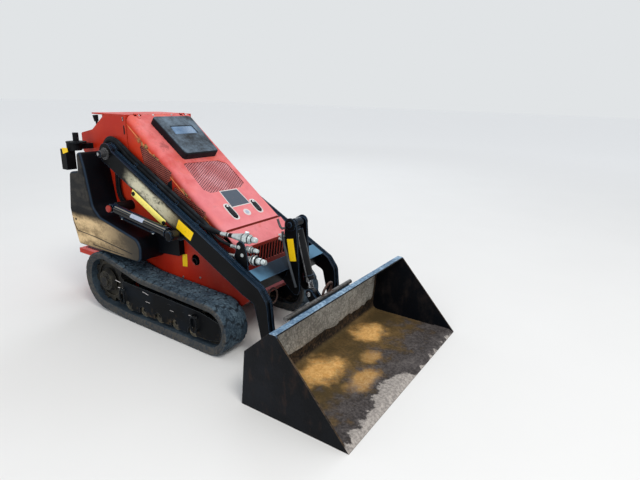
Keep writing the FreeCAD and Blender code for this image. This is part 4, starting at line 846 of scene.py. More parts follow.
def slab(outline, origin, uAxis, vAxis, thick, soft=0.0, sink=0.6):
    # an outline in the plane of two axes given a thickness, its upper rim rounded by soft
    u, v = unit(uAxis), unit(vAxis)
    out = np.cross(u, v)
    centre = outline.mean(0)
    rows = [(-sink, 0.0), (thick - soft, 0.0)]
    if soft:
        rows += [(thick - soft * 0.3, soft * 0.3), (thick, soft)]
    grid = []
    for height, inset in rows:
        size = np.linalg.norm(outline - centre, axis=1)[:, None]
        flat = centre + (outline - centre) * (1 - inset / size)
        grid.append(np.asarray(origin, dtype=float) + u * flat[:, :1] + v * flat[:, 1:] + out * height)
    return shell(np.array(grid))


def patch(corners, origin, uAxis, vAxis, thick, sink=0.6):
    return slab(np.array(corners, dtype=float), origin, uAxis, vAxis, thick, 0.0, sink)


trackSetup = {
    "circles": [(-430.0, 200.0, 142.0), (-235.0, 86.0, 42.0), (460.0, 145.0, 101.0), (-20.0, 863.0, -600.0)],
    "inner": 256.0,
    "width": 172.0,
    "belt": 39.0,
    "lug": 5.0,
    "lugs": 38,
    "stepsPerLug": 20,
}


def loopLine(circles, share):
    # points on the inner face and outward directions, for shares 0..1 of the loop's length
    c = np.array(circles)
    following = np.roll(c, -1, 0)
    run = np.hypot(following[:, 0] - c[:, 0], following[:, 1] - c[:, 1])
    heading = np.arctan2(following[:, 1] - c[:, 1], following[:, 0] - c[:, 0])
    leave = heading - np.arccos((c[:, 2] - following[:, 2]) / run)
    arrive = np.roll(leave, 1)
    sweep = (leave - arrive) % (2 * math.pi)
    sweep = np.where((c[:, 2] < 0) & (sweep > math.pi), sweep - 2 * math.pi, sweep)
    arcs = np.abs(c[:, 2] * sweep)
    start = np.stack([c[:, 0] + c[:, 2] * np.cos(leave), c[:, 1] + c[:, 2] * np.sin(leave)], 1)
    end = np.stack([following[:, 0] + following[:, 2] * np.cos(leave),
                    following[:, 1] + following[:, 2] * np.sin(leave)], 1)
    straight = np.linalg.norm(end - start, axis=1)
    lengths = np.stack([arcs, straight], 1).reshape(-1)
    marks = np.concatenate([[0.0], np.cumsum(lengths)])
    distance = np.asarray(share) % 1.0 * marks[-1]
    k = np.clip(np.searchsorted(marks, distance, side="right") - 1, 0, len(lengths) - 1)
    part = (distance - marks[k]) / lengths[k]
    i = k // 2
    turn = np.where(k % 2 == 0, arrive[i] + sweep[i] * part, leave[i])
    onArc = np.stack([c[i, 0] + c[i, 2] * np.cos(turn), c[i, 1] + c[i, 2] * np.sin(turn)], 1)
    onRun = start[i] + (end[i] - start[i]) * part[:, None]
    points = np.where((k % 2 == 0)[:, None], onArc, onRun)
    return points, np.stack([np.cos(turn), np.sin(turn)], 1), marks[-1]


def makeTrack(setup, side):
    # belt surface: loop share by place across; the outer face rises in staggered lugs whose ends zigzag
    steps = setup["lugs"] * setup["stepsPerLug"]
    share = np.arange(steps) / steps
    base, out, length = loopLine(setup["circles"], share)
    half = setup["width"] / 2
    across = np.concatenate([np.linspace(-half, half, 33), np.linspace(half, -half, 13)[1:-1]])
    outer = np.arange(len(across)) < 33
    phase = share[:, None] * setup["lugs"]
    a = across[None, :] / half
    stagger = np.where(a < 0, 0.0, 0.5)
    bend = np.sin(a * math.pi * 3.0)
    zigzag = 0.13 * np.sign(bend) * np.minimum(1, np.abs(bend) * 2)
    wave = np.abs((phase + stagger + zigzag) % 1.0 - 0.5) * 2
    lug = np.clip((0.9 - wave) / 0.12, 0, 1)
    lug = lug * lug * (3 - 2 * lug)
    gutter = np.clip(np.abs(a) / 0.05, 0.6, 1)
    shoulder = np.clip((1.0 - np.abs(a)) / 0.1, 0, 1)
    dips = np.exp(-(((np.abs(a) - 0.5) / 0.08) ** 2)) * 0.5
    lug = lug * gutter * (0.3 + 0.7 * shoulder) * (1 - dips)
    height = np.where(outer[None, :], setup["belt"] + setup["lug"] * lug, 0.0)
    height = np.where(outer[None, :] & (np.abs(a) > 0.97), setup["belt"] * 0.8, height)
    y = np.broadcast_to(setup["inner"] + half + across[None, :], height.shape) * side
    points = np.stack([base[:, :1] + out[:, :1] * height, y, base[:, 1:] + out[:, 1:] * height], axis=-1)
    rise = np.where(outer[None, :], lug, 0.35).reshape(-1)
    name = "track_belt_" + ("left" if side > 0 else "right")
    made = piece("rubber_" + name, [shell(points, wrapRows=True, caps=False)], "treadRubber", "machine",
                 40.0, ("rise", rise))
    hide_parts(name)


def makeLabels():
    origin = np.array(onHood(0, 0))
    u = np.array(onHood(1, 0)) - origin
    v = np.array(onHood(0, 1)) - origin
    piece("hood_label_border", [patch([(670, -55), (803, -63), (803, 95), (676, 85)], origin, u, v, 0.5)],
          "whiteLabel", "hood_body")
    piece("hood_label", [patch([(676, -50), (797, -57), (797, 89), (682, 79)], origin, u, v, 0.8)],
          "slateLabel", "hood_body")
    disc = np.linspace(0, 2 * math.pi, 28, endpoint=False)
    ring = np.stack([np.cos(disc), np.sin(disc)], 1)
    piece("hood_disc", [slab(ring * 25 + (856, 17), origin, u, v, 0.5)], "whiteLabel", "hood_body")
    piece("hood_disc_centre", [slab(ring * 13 + (856, 17), origin, u, v, 0.8)], "blueWhiteLabel", "hood_body")
    piece("cover_pane", [slab(np.array([(164, -58), (228, -65), (228, 103), (164, 101)], dtype=float),
                              np.array(onHood(0, 0, 41.0)), u, v, 1.2, 0.6)], "paneGlass", "hood_body")
    armOrigin = np.array(onArm(0, 0, -armFace))
    armAlong = np.array(onArm(1, 0, -armFace)) - armOrigin
    armUp = np.array(onArm(0, 1, -armFace)) - armOrigin
    piece("arm_label", [patch([(676, -38), (796, -36), (798, 21), (674, 19)], armOrigin, armAlong, armUp, 0.6)],
          "yellowLabel", "lift_arms")
    piece("mast_label", [patch([(724, 480), (766, 489), (744, 610), (703, 600)], (0, -52, 0), (1, 0, 0), (0, 0, 1),
                               0.6)], "yellowLabel", "lift_arms")
    piece("plate_label", [patch([(99, 368), (138, 374), (140, 448), (100, 445)], (0, -plateFace, 0), (1, 0, 0),
                                (0, 0, 1), 0.6)], "yellowLabel", "machine")
    piece("canister_tag", [patch([(-736, 991), (-678, 993), (-672, 971), (-729, 954)], (0, -412, 0),
                                 (1, 0, 0), (0, 0, 1), 0.6)], "yellowLabel", "machine")


latchSetup = {
    # name: upper end, lower end on the hood's slope (along, left)
    "hood_latch_right": ((774, -88), (880, -84)),
    "hood_latch_left": ((782, 122), (876, 120)),
}


def makeLatches(setup):
    # moulded rubber strap: width swells at the grip, thickness crowned across, on a pale worn patch
    out = unit(np.array(onHood(0, 0, 1)) - np.array(onHood(0, 0)))
    for name, (top, low) in setup.items():
        a, b = np.array(onHood(*top)), np.array(onHood(*low))
        run = unit(b - a)
        side = np.cross(out, run)
        length = np.linalg.norm(b - a)
        t = np.linspace(0, 1, 26)[:, None]
        turn = np.linspace(0, 2 * math.pi, 18, endpoint=False)[None, :]
        width = 15.0 + 4.0 * np.sin(np.clip((t - 0.15) / 0.85, 0, 1) * math.pi)
        taper = np.clip(np.minimum(t / 0.08, (1 - t) / 0.12), 0.05, 1) ** 0.5
        ribs = 1 + 0.16 * np.cos(t * 60) * (t > 0.4)
        across = width * taper * np.sign(np.cos(turn)) * np.abs(np.cos(turn)) ** 0.7
        up = 7.0 * taper * ribs * np.clip(np.sin(turn), 0, 1) + 0.2
        up = np.where(np.sin(turn) < 0, -0.4, up)
        points = a + run * (t * length)[..., None] + side * across[..., None] + out * up[..., None]
        piece(name, [shell(points)], "hoseRubber", "hood_body")
        knob = turned(a + run * 14 + out * 4, out, [(-1, 9), (3, 9.5), (5, 8), (7, 3)], 20)
        piece(name + "_knob", [knob], "bareSteel", "hood_body")
        angle = np.linspace(0, 2 * math.pi, 30, endpoint=False)
        halo = np.stack([np.cos(angle) * (length / 2 + 9), np.sin(angle) * 27], 1)
        halo = np.sign(halo) * np.abs(halo / [length / 2 + 9, 27]) ** 0.6 * [length / 2 + 9, 27]
        piece(name + "_wear", [slab(halo, (a + b) / 2, run, side, 0.25)], "whiteLabel", "hood_body")


lockBarSetup = {
    # ends along the arm, lower and upper edge across it, outer face, depth of the channel and its wall
    "along": (288.0, 592.0),
    "across": (-96.0, -53.0),
    "out": 338.0,
    "deep": 20.0,
    "wall": 4.0,
    "round": 5.0,
}


def makeLockBar(setup):
    # a channel's outline, with both outer corners cut, carried along the arm
    low, high = setup["across"]
    out, back, wall, cut = setup["out"], setup["out"] - setup["deep"], setup["wall"], setup["round"]
    outline = np.array([(low, back), (low, out - cut), (low + cut * 0.3, out - cut * 0.3), (low + cut, out),
                        (high - cut, out), (high - cut * 0.3, out - cut * 0.3), (high, out - cut), (high, back),
                        (high - wall, back), (high - wall, out - wall - 1), (low + wall, out - wall - 1),
                        (low + wall, back)])
    along = np.array(setup["along"])[:, None]
    places = onArm(along, outline[None, :, 0], -outline[None, :, 1])
    made = piece("safety_bar", [shell(np.stack(np.broadcast_arrays(*places), axis=-1))], "yellowPaint", "lift_arms",
                 50.0)
    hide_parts("lock_bar")


boltSetup = {
    "plate": ((107, 484), (98, 302), (-20, 470), (240, 330)),
    "hoodRear": (-163, -61, 78, 192),
    "lockBar": (306, 586),
    "hubCircle": 46.0,
    "hubBolts": 8,
}


def makeBolts(setup):
    heads = []
    for x, z in setup["plate"]:
        for way in (-1, 1):
            heads += boltHead((x, way * plateFace, z), (0, way, 0), 6.0, 4.0)
    piece("plate_bolts", heads, "darkPin", "machine")
    heads = []
    rise = np.array(onHood(0, 0, 1)) - np.array(onHood(0, 0))
    for left in setup["hoodRear"]:
        heads += boltHead(onHood(9, left), rise, 5.0, 3.5)
    piece("hood_rear_bolts", heads, "zinc", "hood_body")
    heads = []
    for along in setup["lockBar"]:
        heads.append(turned(onArm(along, -72, -338), (0, -1, 0), [(-0.5, 12), (5, 12), (8, 10), (9, 5)], 20))
    piece("lock_bar_bolts", heads, "podBlack", "lift_arms")
    heads = []
    for along, across in ((1058, 117), (1095, 93)):
        heads += boltHead(onArm(along, across, -289.7), (0, -1, 0), 9.0, 5.0)
    piece("bracket_bolts", heads, "zinc", "lift_arms")
    heads = []
    for way in (-1, 1):
        for k in range(setup["hubBolts"]):
            turn = 2 * math.pi * (k + 0.5) / setup["hubBolts"]
            at = (-430 + setup["hubCircle"] * math.cos(turn), way * 408.0, 200 + setup["hubCircle"] * math.sin(turn))
            heads += boltHead(at, (0, way, 0), 6.0, 5.0, False)
    piece("hub_bolts", heads, "wheelSteel", "machine")


def makePins():
    # turned ends of the pivots
    steel, red, dark = [], [], []
    for way in (-1, 1):
        out = (0, way, 0)
        at = (armPivot[0], way * 373.5, armPivot[1])
        dark.append(turned(at, out, [(-1, 19), (4, 19.5), (6, 18), (6.2, 12)], 28))
        steel.append(turned(at, out, [(5, 10), (12, 9.5), (13, 7), (13.2, 2)], 6))
        red.append(turned((-329, way * 401.5, 671), out, [(-2, 20), (5, 21), (10, 18), (12, 8)], 28))
        dark.append(turned((184.2, way * 397.0, 597.9), out, [(-2, 25), (5, 27), (10, 25), (12, 15), (12.2, 5)], 32))
    piece("pivot_bolts", steel, "bareSteel", "lift_arms")
    piece("lift_base_caps", red, "capRed", "machine")
    piece("lift_front_caps", dark, "satinBlack", "lift_arms")
    rings = []
    for way in (-1, 1):
        rings.append(turned((727.4, way * 52.0, 684.3), (0, way, 0), [(-1, 34), (5, 34), (7, 31), (7, 20)], 32))
        rings.append(turned((727.4, way * 64.0, 684.3), (0, way, 0), [(-1, 15.5), (3, 14), (4, 8)], 24))
    piece("mast_pin_rings", rings, "satinBlack", "lift_arms")
    heads = [turned((838.0, way * 28.0, 310.0), (0, way, 0), [(-1, 15), (6, 15), (8, 13), (9, 6)], 6) for way in (-1, 1)]
    piece("tilt_rod_pin_heads", heads, "bareSteel", "bucket_body")
    steel = []
    for way in (-1, 1):
        steel.append(turned((800.0, way * 344.0, 135.0), (0, way, 0), [(-1, 14.5), (4, 13), (5, 7)], 24))
    piece("foot_pin_ends", steel, "darkPin", "lift_arms")


def makeRings():
    # forged lashing rings: an oval bar hung from a welded eye
    turn = np.linspace(0, 2 * math.pi, 44, endpoint=False)
    shells = []
    for x, z in ((-272, 136), (350, 136)):
        for way in (-1, 1):
            path = np.stack([x + 29 * np.sign(np.cos(turn)) * np.abs(np.cos(turn)) ** 0.8,
                             np.full(44, way * 411.0) + 5 * way * np.cos(turn), z + 44 * np.sin(turn)], 1)
            shells.append(tubeAlong(path, 6.0, 10, True))
            shells.append(tubeAlong([(x - 18, way * 402, z + 44), (x, way * 419, z + 50), (x + 18, way * 402, z + 44)],
                                    7.0, 8))
    piece("frame_rings", shells, "trackFrame", "machine")
    path = np.stack([np.full(44, 625.0) - 5 * np.sin(turn), -72 + 36 * np.cos(turn), 262 + 42 * np.sin(turn)], 1)
    piece("front_ring", [tubeAlong(path, 5.0, 10, True)], "rustIron", "machine")
    path = np.stack([896 + 10 * np.sin(turn), 62 + 36 * np.cos(turn) + 9 * np.sin(turn), 322 + 40 * np.sin(turn)], 1)
    shackle = [tubeAlong(path, 7.0, 10, True),
               turned((896, 6, 298), (0, 1, 0), [(0, 9), (8, 9), (8.5, 6), (100, 6), (100.5, 9), (110, 9)], 16)]
    piece("bar_shackle", shackle, "rustIron", "bucket_body")


pipeSetup = {
    # steel line under each lift cylinder: distance along the barrel from its base eye, and drop below its axis
    "lift": ((92, 30), (118, 38), (150, 38), (300, 38), (360, 38), (392, 31)),
    "tube": 5.0,
    "nut": 9.0,
}


def makePipes(setup):
    run = unit((513.2, 0.0, -73.1))
    drop = np.array([run[2], 0.0, -run[0]])
    for way, side in ((-1, "right"), (1, "left")):
        base = np.array([-329.0, way * 388.0, 671.0])
        path = [base + run * s + drop * (d - 8) for s, d in setup["lift"]]
        shells = [tubeAlong(path, setup["tube"], 10)]
        for s in (104, 376):
            at = base + run * s + drop * 20
            shells.append(turned(at, drop, [(0, setup["nut"]), (9, setup["nut"])], 6))
            shells.append(turned(at - run * 4, run, [(-12, 7), (12, 7)], 12))
        piece("lift_pipe_" + side, shells, "satinBlack", "lift_barrel_body_" + side)
        nuts = [turned(base + run * s + drop * 27, drop, [(0, 7), (7, 7)], 6) for s in (104, 376)]
        piece("lift_pipe_nuts_" + side, nuts, "zinc", "lift_barrel_body_" + side)
    run = unit((110.6, 0.0, -374.3))
    ahead = np.array([-run[2], 0.0, run[0]])
    base = np.array([727.4, 0.0, 684.3])
    path = [base + run * s + ahead * a + np.array([0, y, 0]) for s, a, y in
            ((52, 10, -22), (66, 13, -31), (110, 12, -32), (220, 12, -32), (300, 12, -32), (322, 11, -28))]
    shells = [tubeAlong(path, 4.0, 10)]
    for s in (62, 312):
        shells.append(turned(base + run * (s - 9) + ahead * 12 + np.array([0, -31, 0]), run, [(0, 8), (18, 8)], 6))
    piece("tilt_pipe", shells, "darkPin", "tilt_barrel_body")
    shells = []
    for z in (617, 596):
        shells.append(turned((690, -58, z), (-1, 0, 0), [(0, 7), (12, 7), (12.5, 10), (24, 10), (24.5, 6), (36, 6)], 6))
    piece("mast_fittings", shells, "zinc", "lift_arms")
    lever = tubeAlong([(696, -57, 662), (676, -60, 655), (664, -60, 664), (654, -60, 684), (646, -60, 704)], 6.5, 10)
    piece("mast_catch", [lever], "darkPin", "lift_arms")
    path = spline([(680, -60, 640), (690, -60, 572), (709, -60, 517), (731, -60, 456), (752, -60, 398), (772, -60, 344)], 40)
    piece("mast_line", [tubeAlong(path, 7.0, 12)], "greyHose", "lift_arms")


couplerSetup = {
    # start of each coupler's hose end (x, y, z), its round parts and its hexagons as (along, radius)
    "lean": (0.999, 0.0, 0.03),
    "bodies": (
        ((424.0, -257.0, 626.0),
         ([(0, 9), (2, 11), (44, 11.5), (46, 9), (52, 9), (54, 12), (60, 12), (62, 10), (84, 10), (88, 14), (150, 23),
           (166, 23.5), (168, 20)], [(195, 22), (198, 24), (202, 24), (206, 19)],
          [(204, 15), (214, 15), (216, 13), (220, 15), (240, 14.5), (246, 12), (247, 6)]),
         ([(165, 26), (192, 26), (196, 22)],)),
        ((498.0, -262.0, 575.0),
         ([(0, 7.5), (2, 9), (40, 9), (42, 12), (60, 12), (62, 9), (100, 9), (112, 12)],
          [(129, 16), (133, 18), (139, 18), (144, 13), (156, 13), (160, 11), (176, 10.5), (186, 8), (187, 3)]),
         ([(107, 17.5), (130, 17.5)], [(46, 13), (56, 13)])),
        ((485.0, -264.0, 524.0),
         ([(0, 7.5), (2, 9), (40, 9), (42, 13), (64, 13), (66, 10), (110, 10), (116, 13), (142, 13)],
          [(160, 20), (164, 26), (170, 27), (174, 23), (178, 26), (184, 27), (190, 23), (196, 18)],
          [(195, 17), (222, 16.5), (226, 14), (246, 13.5), (250, 10), (250.5, 4)]),
         ([(140, 17), (162, 17)],)),
    ),
    # dark joints of each coupler: from, to, radius
    "joints": (
        ((46, 52, 11.6), (62, 86, 12.4), (160, 165, 24.4), (195.5, 202, 24.6), (215, 220, 15.4)),
        ((61, 100, 10.0), (139, 144, 16.0), (156, 160, 13.2)),
        ((65, 112, 11.6), (170, 174, 26.6), (190, 196, 25.0), (222, 226, 16.6)),
    ),
    "stub": ((604.0, -257.0, 650.0), (0.25, 0.0, 1.0)),
    "studs": ((596, 612), (612, 580), (622, 529)),
    # bracket on the arm's inner face: distance along the arm and across it
    "bracket": ((1047, 103), (1036, 124), (1044, 146), (1062, 155), (1080, 151), (1093, 140), (1118, 117), (1154, 65),
                (1165, 44), (1165, 4), (1122, 4), (1054, 55)),
    "inner": -283.7,
    "thick": 6.0,
    "main": ((-100, -32), (-84, 28), (-34, 58), (40, 56), (130, 44), (400, 44), (700, 44), (790, 50), (850, 64),
             (905, 80)),
    "mainY": -269.7,
    "second": ((-108, -40), (-106, 8), (-80, 50), (-24, 70), (60, 70), (150, 66), (400, 66), (700, 66), (780, 64),
               (836, 60)),
    "secondY": -268.0,
    "hose": 8.5,
    "hoses": (
        [(297, 672), (340, 640), (390, 606), (440, 586), (500, 575)],
        [(297, 664), (334, 624), (372, 584), (420, 548), (487, 524)],
    ),
    "drop": ([(-428, 900), (-436, 840), (-438, 760), (-424, 706), (-392, 672), (-352, 660)],
             [(-404, 896), (-414, 836), (-416, 766), (-404, 718), (-378, 690), (-346, 682)]),
}


def makeCouplers(setup):
    # three quick couplers on their bracket, the sleeved hoses that reach them, and the hoses to the lift cylinder
    lean = unit(setup["lean"])
    shells = []
    for start, rounds, flats in setup["bodies"]:
        shells += [turned(start, lean, profile, 24) for profile in rounds]
        shells += [turned(start, lean, profile, 6) for profile in flats]
    shells.append(turned(*setup["stub"], [(-6, 9), (8, 9), (9, 12), (17, 12), (18, 8)], 6))
    shells += [turned((x, setup["inner"] - 1, z), (0, 1, 0), [(0, 7), (22, 7)], 16) for x, z in setup["studs"]]
    made = piece("coupler_bodies", shells, "zinc", "lift_arms")
    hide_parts("aux_couplers")
    shells = [turned(body[0], lean, [(a, radius), (b, radius)], 24)
              for body, joints in zip(setup["bodies"], setup["joints"]) for a, b, radius in joints]
    piece("coupler_joints", shells, "podBlack", "lift_arms")
    origin = np.array(onArm(0, 0, setup["inner"]))
    along, up = np.array(onArm(1, 0, setup["inner"])) - origin, np.array(onArm(0, 1, setup["inner"])) - origin
    piece("coupler_bracket", [patch(setup["bracket"], origin, along, up, setup["thick"], 0.0)], "satinBlack",
          "lift_arms")
    # the sleeve narrows to one hose where it ends, and leans inwards there to its coupler
    path = spline([onArm(a, b, setup["mainY"]) for a, b in setup["main"]], 160)
    ending = np.clip((np.linspace(0, 1, 160) - 0.86) / 0.12, 0, 1)
    path[:, 1] += ending * 12.0
    sleeve = piece("main_sleeve", [tubeAlong(path, 16.0 - 6.0 * ending, 16)], "hoseRubber", "lift_arms")
    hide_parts("hose_sleeve")
    path = spline([onArm(a, b, setup["secondY"]) for a, b in setup["second"]], 120)
    piece("second_sleeve", [tubeAlong(path, 12.0, 14)], "hoseRubber", "lift_arms")
    for name, table, body, level in (("lower_hoses", setup["hoses"], "lift_arms", -263.0),
                                     ("drop_hoses", setup["drop"], "machine", -262.0)):
        shells = [tubeAlong(spline([(x, level, z) for x, z in points], 60), setup["hose"], 14) for points in table]
        piece(name, shells, "hoseRubber", body)


scuffSetup = {
    # pale scrapes on the track frame's plate: x and z of each stroke's ends, half width
    "strokes": ((-344, 223, -295, 219, 2.2), (-325, 180, -277, 183, 2.6), (-86, 212, -34, 205, 1.6),
                (-67, 155, -25, 156, 1.4), (148, 160, 177, 160, 1.2), (300, 175, 339, 178, 1.6)),
}


def makeScuffs(setup):
    shells = []
    for x0, z0, x1, z1, half in setup["strokes"]:
        corners = [(x0, z0 - half * 0.4), (x1, z1 - half), (x1 + 3, z1 + half * 0.5), (x0 + 4, z0 + half)]
        shells.append(patch(corners, (0, -400, 0), (1, 0, 0), (0, 0, 1), 0.3))
    piece("frame_scuffs", shells, "whiteLabel", "machine")


def makeBodyTrim():
    # strap between the flank vents, dark patches painted as the shade in the side plates' slots, pipe stub, tank seams
    for way, side in ((-1, "right"), (1, "left")):
        strap = [(x, -way * z) for x, z in ((2, 745), (30, 760), (44, 800), (46, 864), (20, 850), (4, 828))]
        piece("vent_strap_" + side, [patch(strap, (0, way * 243.4, 0), (1, 0, 0), (0, 0, -way), 4.5)], "hoseRubber",
              "hood_body")
    # painted shade: dark patches where the latch slot and keyhole open
    shells = []
    for corners in ([(-354, 1186), (-344, 1186), (-342, 1164), (-352, 1160)],
                    [(-349, 1136), (-341, 1140), (-337, 1120), (-336, 1092), (-343, 1084), (-349, 1092)]):
        shells.append(patch(corners, (0, -plateFace, 0), (1, 0, 0), (0, 0, 1), 0.5))
        shells.append(patch([(x, -z) for x, z in corners], (0, plateFace, 0), (1, 0, 0), (0, 0, -1), 0.5))
    piece("slot_shade_patches", shells, "podBlack", "machine")
    piece("slot_bolts", boltHead((-349, -plateFace - 0.5, 1180), (0, -1, 0), 4.0, 3.0, False)
          + boltHead((-347, -plateFace - 0.5, 1168), (0, -1, 0), 4.0, 3.0, False), "zinc", "machine")
    profile = [(0, 17), (0, 22), (28, 22), (30, 20), (30, 17), (4, 16), (3, 2)]
    piece("side_pipe", [turned((196, -216, 416), (0, -1, 0), profile, 28)], "podBlack", "machine")
    lines = [[(-684, 567), (-686, 535), (-652, 488), (-474, 479), (-268, 457), (-120, 441)],
             [(-492, 436), (-497, 424), (-200, 418)]]
    shells = []
    for line in lines:
        for way in (-1, 1):
            shells.append(tubeAlong([(x, way * tankFace, z) for x, z in line], 2.4, 6))
    shells.append(turned((-660, -tankFace, 560), (0, -1, 0), [(-1, 8), (0.8, 8)], 16))
    piece("tank_seams", shells, "podBlack", "machine")


stickerSetup = {
    # base eye and direction of the right lift barrel; the label's ends along it and its arc upwards from the side
    "base": (-329.0, -372.0, 671.0),
    "run": (513.2, 0.0, -73.1),
    "radius": 27.0,
    "along": (186.0, 296.0),
    "arc": (12.0, 64.0),
}


def makeBarrelSticker(setup):
    # an arc at two radii, out and back, carried along the barrel
    run = unit(setup["run"])
    up = np.array([-run[2], 0.0, run[0]])
    turn = np.radians(np.linspace(*setup["arc"], 12))
    turn = np.concatenate([turn, turn[::-1]])[:, None]
    reach = np.where(np.arange(24) < 12, 0.6, -0.8)[:, None] + setup["radius"]
    ring = np.array(setup["base"]) + (up * np.sin(turn) - np.array([0, 1, 0]) * np.cos(turn)) * reach
    along = np.array(setup["along"])[:, None, None]
    piece("barrel_sticker", [shell(ring[None] + run * along)], "blueWhiteLabel", "lift_barrel_body_right")


def makeOperatorTrim():
    # panel under the console's overhang, treads of the platform, sleeve on the bar
    low, high = np.array([-687.0, 0.0, 877.0]), np.array([-781.0, 0.0, 966.0])
    tall = float(np.linalg.norm(high - low))
    piece("rear_apron", [patch([(-238, 0), (238, 0), (238, tall), (-238, tall)], low, (0, 1, 0), high - low, 0.0, 4.0)],
          "redBody", "machine")
    ribs = []
    for x in np.arange(-962.0, -735.0, 22.0):
        ribs.append(patch([(x, -205), (x + 11, -205), (x + 11, 205), (x, 205)], (0, 0, 262), (1, 0, 0), (0, 1, 0), 3.0))
    piece("platform_ribs", ribs, "hoseRubber", "platform_body")
    t = np.linspace(0, 1, 40)
    bar = np.stack([np.full(40, -857.0), -120 + 240 * t, np.full(40, 1010.0)], 1)
    piece("bar_sleeve", [tubeAlong(bar, 13.5 + 1.0 * np.abs(np.sin(t * math.pi * 18)), 16)], "hoseRubber", "machine")


mudSetup = {"from": -606.0, "to": 606.0, "columns": 260, "rows": 54, "low": 24.0, "high": 374.0, "thick": 8.0,
            "edge": 80.0, "ragged": 15.0}


def waves(u, v, count, size, seed):
    # uneven surface: sine waves of many directions and lengths added up
    rng = np.random.default_rng(seed)
    total = np.zeros(np.broadcast(u, v).shape)
    for k in range(count):
        length = size * 0.5 ** (3.2 * k / count)
        turn = rng.uniform(0, 2 * math.pi)
        total = total + np.sin((u * math.cos(turn) + v * math.sin(turn)) * 2 * math.pi / length
                               + rng.uniform(0, 6.28)) * 0.8 ** (6 * k / count)
    return total / count ** 0.5


def makeMud(setup):
    # dried mud caked on the bucket's back wall, thin at its ragged lower edge
    y = np.linspace(setup["from"], setup["to"], setup["columns"])[:, None]
    z = np.linspace(setup["low"], setup["high"], setup["rows"])[None, :]
    knee = 268.0
    x = np.where(z < knee, 901 + 20 * (z - 8) / 260, 921 + (z - knee) * 132 / 121)
    tilt = np.clip((z - knee + 12) / 24, 0, 1)
    nx, nz = 0.997 - 0.32 * tilt, -0.077 - 0.66 * tilt
    border = setup["edge"] + setup["ragged"] * waves(y, y * 0, 14, 420.0, 3)
    cover = np.clip((z - border) / 26.0, 0, 1) * np.clip((setup["high"] - z) / 14.0, 0, 1)
    cover = cover * np.clip((606.0 - np.abs(y)) / 30.0, 0, 1)
    lump = 0.55 + 0.3 * waves(y, z, 18, 130.0, 5) + 0.22 * waves(y, z, 16, 34.0, 8)
    height = -1.2 + cover * (1.2 + setup["thick"] * np.clip(lump, 0.05, 1.6))
    top = np.stack([x + nx * height, y + 0 * z, z + nz * height], axis=-1)
    under = np.stack([x - nx * 3 + 0 * y, y + 0 * z, z - nz * 3 + 0 * y], axis=-1)
    points = np.concatenate([top, under[:, ::-1]], axis=1)
    piece("bucket_mud", [shell(points)], "dryMud", "bucket_body", 60.0)


def makeTopBar():
    # worn steel skin over the attachment plate's top bar
    t = np.linspace(-315.5, 315.5, 60)
    path = np.stack([np.full(60, 896.0), t, np.full(60, 291.0)], 1)
    piece("top_bar_skin", [tubeAlong(path, 12.35, 28)], "barSteel", "bucket_body")


grilleSetup = {"slots": 18, "share": 0.58, "half": 238.0, "face": (521.0, 534.0), "fold": (505.0, 395.0),
                "foot": (520.0, 345.0), "slotTop": 8.0, "slotLow": 34.0}


def makeGrille(setup):
    # folded sheet with upright slots: bars between two rails, and the plain skirt below the fold
    top, fold, foot = (np.array([x, 0.0, z]) for x, z in (setup["face"], setup["fold"], setup["foot"]))
    rise = unit(top - fold)
    tall = float(np.linalg.norm(top - fold))
    half, low, high = setup["half"], setup["slotLow"], tall - setup["slotTop"]
    pitch = 2 * half / (setup["slots"] + 0.5)
    shells = [patch([(-half, -0.5), (half, -0.5), (half, low), (-half, low)], fold, (0, 1, 0), rise, 0.0, 4.0),
              patch([(-half, high), (half, high), (half, tall), (-half, tall)], fold, (0, 1, 0), rise, 0.0, 4.0)]
    for k in range(setup["slots"] + 1):
        y = -half + pitch * (k + 0.25)
        wide = pitch * (1 - setup["share"]) / 2
        shells.append(patch([(y - wide, low - 0.5), (y + wide, low - 0.5), (y + wide, high + 0.5), (y - wide, high + 0.5)],
                            fold, (0, 1, 0), rise, 0.0, 4.0))
    down = unit(fold - foot)
    length = float(np.linalg.norm(fold - foot))
    shells.append(patch([(-half, 0), (half, 0), (half, length), (-half, length)], foot, (0, 1, 0), down, 0.0, 4.0))
    made = piece("slotted_grille", shells, "redGrille", "machine")
    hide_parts("front_grille")


def makeRadiator():
    # finned core behind the grille
    fins = []
    for z in np.linspace(400, 520, 13):
        fins.append(patch([(478, -225), (484, -225), (484, 225), (478, 225)], (0, 0, z), (1, 0, 0), (0, 1, 0), 3.0))
    core = patch([(-225, 392), (225, 392), (225, 528), (-225, 528)], (470, 0, 0), (0, 1, 0), (0, 0, 1), 8.0)
    piece("radiator_core", fins + [core], "podBlack", "machine")


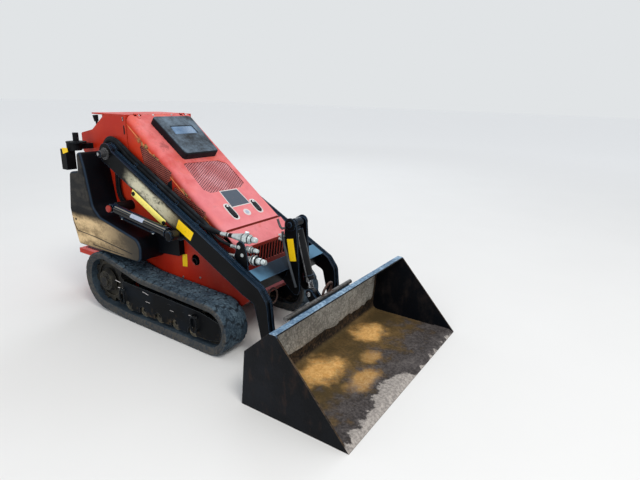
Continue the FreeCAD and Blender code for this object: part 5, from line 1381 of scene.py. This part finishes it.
makeCamera(cameraSetup)
makeLamps(lampSetup)
dressNodes(nodeFinish)
print("nodes dressed")
for side in (-1, 1):
    makeTrack(trackSetup, side)
print("tracks made")
makeLabels()
makeLatches(latchSetup)
makeLockBar(lockBarSetup)
makeBolts(boltSetup)
makePins()
makeRings()
makePipes(pipeSetup)
makeCouplers(couplerSetup)
makeScuffs(scuffSetup)
makeBodyTrim()
makeBarrelSticker(stickerSetup)
makeOperatorTrim()
print("small pieces made")
makeMud(mudSetup)
makeTopBar()
makeGrille(grilleSetup)
makeRadiator()
print("mud and core made")


def makeFloor():
    size = 60.0
    mesh = bpy.data.meshes.new("floor")
    mesh.from_pydata([(-size, -size, 0), (size, -size, 0), (size, size, 0), (-size, size, 0)], [], [(0, 1, 2, 3)])
    mesh.materials.append(makeFloorPaint())
    floor = bpy.data.objects.new("floor", mesh)
    bpy.context.scene.collection.objects.link(floor)


def makeWorld(level):
    # plain soft sky; the camera and mirrors see it pale
    world = bpy.data.worlds.new("studio")
    bpy.context.scene.world = world
    world.use_nodes = True
    tree = world.node_tree
    tree.nodes.clear()
    output = tree.nodes.new("ShaderNodeOutputWorld")
    light = tree.nodes.new("ShaderNodeBackground")
    light.inputs[0].default_value = (0.93, 0.96, 1.0, 1.0)
    light.inputs[1].default_value = level
    seen = tree.nodes.new("ShaderNodeBackground")
    seen.inputs[0].default_value = rgb(225, 228, 230)
    seen.inputs[1].default_value = 1.0
    rays = tree.nodes.new("ShaderNodeLightPath")
    choose = tree.nodes.new("ShaderNodeMixShader")
    sum = rays.outputs["Is Camera Ray"]
    for name in ("Is Glossy Ray", "Is Transmission Ray"):
        more = tree.nodes.new("ShaderNodeMath")
        more.use_clamp = True
        tree.links.new(sum, more.inputs[0])
        tree.links.new(rays.outputs[name], more.inputs[1])
        sum = more.outputs[0]
    tree.links.new(sum, choose.inputs[0])
    tree.links.new(light.outputs[0], choose.inputs[1])
    tree.links.new(seen.outputs[0], choose.inputs[2])
    tree.links.new(choose.outputs[0], output.inputs[0])


makeFloor()
makeWorld(worldLevel)
bpy.context.scene.view_settings.view_transform = "Standard"
